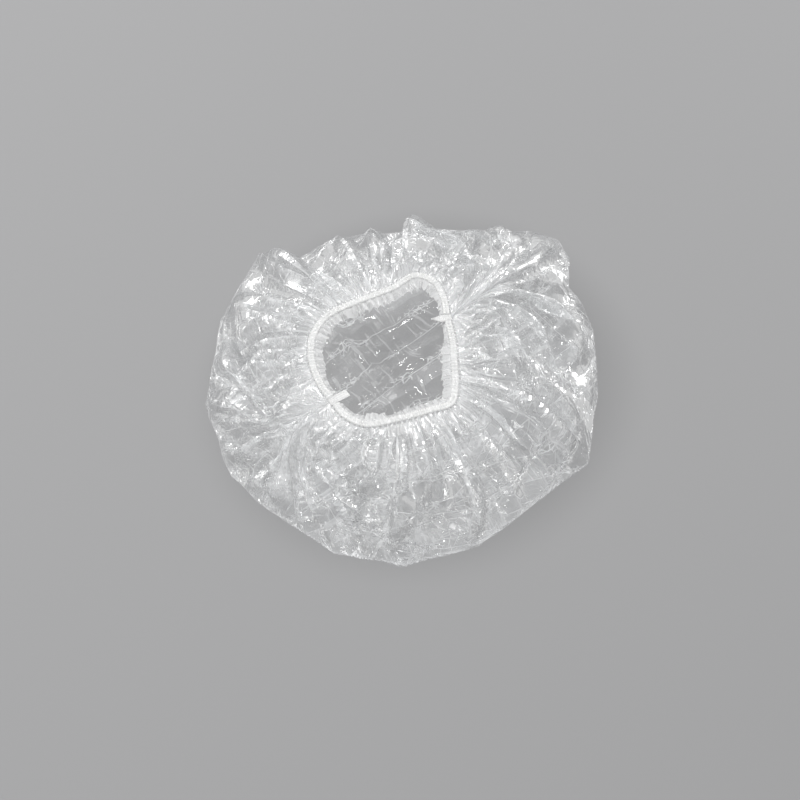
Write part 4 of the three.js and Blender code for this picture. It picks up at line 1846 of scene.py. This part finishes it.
@dataclass
class Studio:
    """Pale table, soft light and the camera."""

    # Camera
    azimuth: float = -43.0
    elevation: float = 58.0
    distance: float = 0.75
    aim: Triple = (-0.030, -0.0155, 0.0)
    lens: float = 46.2
    sensor: float = 36.0

    # Table, with a soft shadow of the cap at rest painted into its colour
    table_size: float = 16.0
    table_colour: Triple = (0.37, 0.37, 0.375)
    table_roughness: float = 0.7
    table_end: Ramp = Ramp(0.6, 2.4, 0.0, 1.0)
    speck_scale: float = 900.0
    speck_relief: Pair = (0.0001, 0.15)
    # Painted shadow: share of the table's colour left under the cap, by distance from its middle
    shade: Ramp = Ramp(0.84, 1.20, 0.80, 1.0)
    painted_shadow_middle: Triple = (-0.004, -0.010, 0.0)
    painted_shadow_reach: Triple = (0.150, 0.140, 1.0)

    # Light
    sky: float = 0.30
    seen_sky: float = 0.90
    clear_layers: int = 48
    bounces: int = 16
    mirrored_bounces: int = 10
    lamps: tuple[Lamp, ...] = (
        Lamp("key", (-0.35, 1.60, 1.7), 1.5, 17.0),
        Lamp("side", (1.7, -0.1, 1.4), 1.1, 13.0),
        Lamp("front", (-1.4, -0.9, 1.3), 0.6, 7.0),
        Lamp("top", (0.5, 0.15, 1.9), 0.50, 4.0, 6.0),
        Lamp("left", (-1.0, 0.5, 1.6), 0.50, 4.0, 6.0),
        Lamp("back", (0.6, 1.5, 1.3), 0.50, 4.0, 6.0))

    def build(self) -> None:
        """Adds the table, the light and the camera."""
        deselect_all()
        bpy.ops.mesh.primitive_plane_add(size=self.table_size)
        table = bpy.context.object
        table.name = "table"
        table.data.materials.append(self.table_material())
        for lamp in self.lamps:
            lamp.build()
        self.light_sky()
        self.place_camera()

    def table_material(self) -> bpy.types.Material:
        """Plain pale table top with a painted shadow of the cap at rest, which goes over into the backdrop
        far away.

        Returns:
            The material.
        """
        board = NodeBoard("pale_table")
        place = board.add("TexCoord").outputs["Object"]
        bump = board.bump(board.noise(place, self.speck_scale, 2.0), self.speck_relief)
        # Painted shadow of the cap: the colour darkens towards the middle of the cap at rest
        away = board.vector("SUBTRACT", place, self.painted_shadow_middle)
        from_cap = board.vector("DIVIDE", away, self.painted_shadow_reach)
        colour = board.scaled(self.table_colour, board.ramp(board.length(from_cap), self.shade))
        top = board.add("BsdfPrincipled", {
            "Base Color": colour, "Roughness": self.table_roughness, "Normal": bump}).outputs[0]
        far = board.ramp(board.length(place), self.table_end)
        path = board.add("LightPath").outputs
        mirrored = board.most(path["Is Glossy Ray"], path["Is Transmission Ray"])
        seen = board.most(path["Is Camera Ray"], mirrored)
        backdrop = board.add("Emission", {"Strength": self.seen_sky}).outputs[0]
        return board.done(board.blend(board.times(far, seen), top, backdrop))

    def light_sky(self) -> None:
        """Even white light from all round, paler where it is seen or mirrored, and the view settings."""
        scene = bpy.context.scene
        scene.world = bpy.data.worlds.new("soft_sky")
        scene.world.use_nodes = True
        tree = scene.world.node_tree
        background = tree.nodes["Background"]
        background.inputs["Color"].default_value = (1.0, 1.0, 1.0, 1.0)
        path = tree.nodes.new("ShaderNodeLightPath")
        seen = path.outputs["Is Camera Ray"]
        for ray in ("Is Glossy Ray", "Is Transmission Ray"):
            either = tree.nodes.new("ShaderNodeMath")
            either.operation = "MAXIMUM"
            tree.links.new(seen, either.inputs[0])
            tree.links.new(path.outputs[ray], either.inputs[1])
            seen = either.outputs[0]
        strength = tree.nodes.new("ShaderNodeMapRange")
        strength.inputs["To Min"].default_value = self.sky
        strength.inputs["To Max"].default_value = self.seen_sky
        tree.links.new(seen, strength.inputs["Value"])
        tree.links.new(strength.outputs["Result"], background.inputs["Strength"])
        scene.view_settings.view_transform = "Standard"
        scene.cycles.transparent_max_bounces = self.clear_layers
        scene.cycles.max_bounces = self.bounces
        scene.cycles.glossy_bounces = self.mirrored_bounces

    def place_camera(self) -> None:
        """Puts the camera where the photograph was taken from."""
        turn, rise = math.radians(self.azimuth), math.radians(self.elevation)
        back = Vector((math.sin(turn) * math.cos(rise), -math.cos(turn) * math.cos(rise), math.sin(rise)))
        deselect_all()
        bpy.ops.object.camera_add(location=Vector(self.aim) + self.distance * back)
        camera = bpy.context.object
        camera.rotation_euler = (-back).to_track_quat("-Z", "Y").to_euler()
        camera.data.lens = self.lens
        camera.data.sensor_width = self.sensor
        bpy.context.scene.camera = camera


def along_mouth(piece: bpy.types.Object, node: str) -> None:
    """Bakes a piece's place into its mesh and hides the node that it stands for.

    Args:
        piece: the piece.
        node: the node that it replaces.
    """
    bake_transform(piece)
    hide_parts(node)
    LOG.info("%s stands for %s: %d faces", piece.name, node, len(piece.data.polygons))


def build_mouth(band: MouthBand) -> list[bpy.types.Object]:
    """Makes both halves of the elastic mouth.

    Args:
        band: line of the mouth.

    Returns:
        The film pieces among them, which are part of the sheet.
    """
    rubber = RubberFinish().material()
    hem_film = FilmFinish(
        name="hem_film", milk=(0.97, 0.975, 0.98, 1.0), haze=0.20, gathered_haze=0.80, glow=0.3, lift=1.2,
        facet_scale=260.0, streak_scale=140.0, streak_length=2.0, streak_low=0.85, crinkle_scale=520.0,
        crinkle_tilt=0.2).material()
    frill_film = FilmFinish(
        name="frill_film", milk=(0.97, 0.975, 0.98, 1.0), haze=0.30, gathered_haze=1.0, glow=0.3, lift=1.0,
        facet_scale=240.0, streak_scale=140.0, streak_length=2.0, streak_low=0.75, crinkle_scale=520.0,
        crinkle_tilt=0.2).material()
    film_pieces = []
    for half in Half:
        mouth = ElasticMouth(band, half)
        for where, offset in (("inner", -mouth.strand_offset), ("outer", mouth.strand_offset)):
            strand = mouth.strand(f"{half.value}_{where}_rubber", offset, rubber)
            along_mouth(strand, f"{half.value}_{where}_strand")
        hem = mouth.hem(f"{half.value}_puckered_hem", hem_film)
        along_mouth(hem, f"{half.value}_hem")
        frill = mouth.frill(f"{half.value}_ruffled_frill", frill_film)
        along_mouth(frill, f"{half.value}_frill")
        film_pieces += [hem, frill]
    return film_pieces


def build_seals(band: MouthBand) -> None:
    """Makes the two end seals."""
    weld = WeldFinish().material()
    for side in Side:
        tab = EndSeal(band, side).build(f"{side.value}_crimped_tab", weld)
        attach(tab, END_SEALS)
        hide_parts(f"{side.value}_end_seal")
        LOG.info("%s stands for %s_end_seal: %d faces", tab.name, side.value, len(tab.data.polygons))


def main() -> None:
    """Builds the cap and its studio in order."""
    logging.basicConfig(level=logging.INFO, format="%(name)s: %(message)s")
    band = MouthBand()
    Studio().build()
    film_pieces = build_mouth(band)
    build_seals(band)
    bag = FilmBag(band)
    film = bag.build(FilmFinish().material())
    along_mouth(film, "crown_film")


if __name__ == "__main__":
    main()
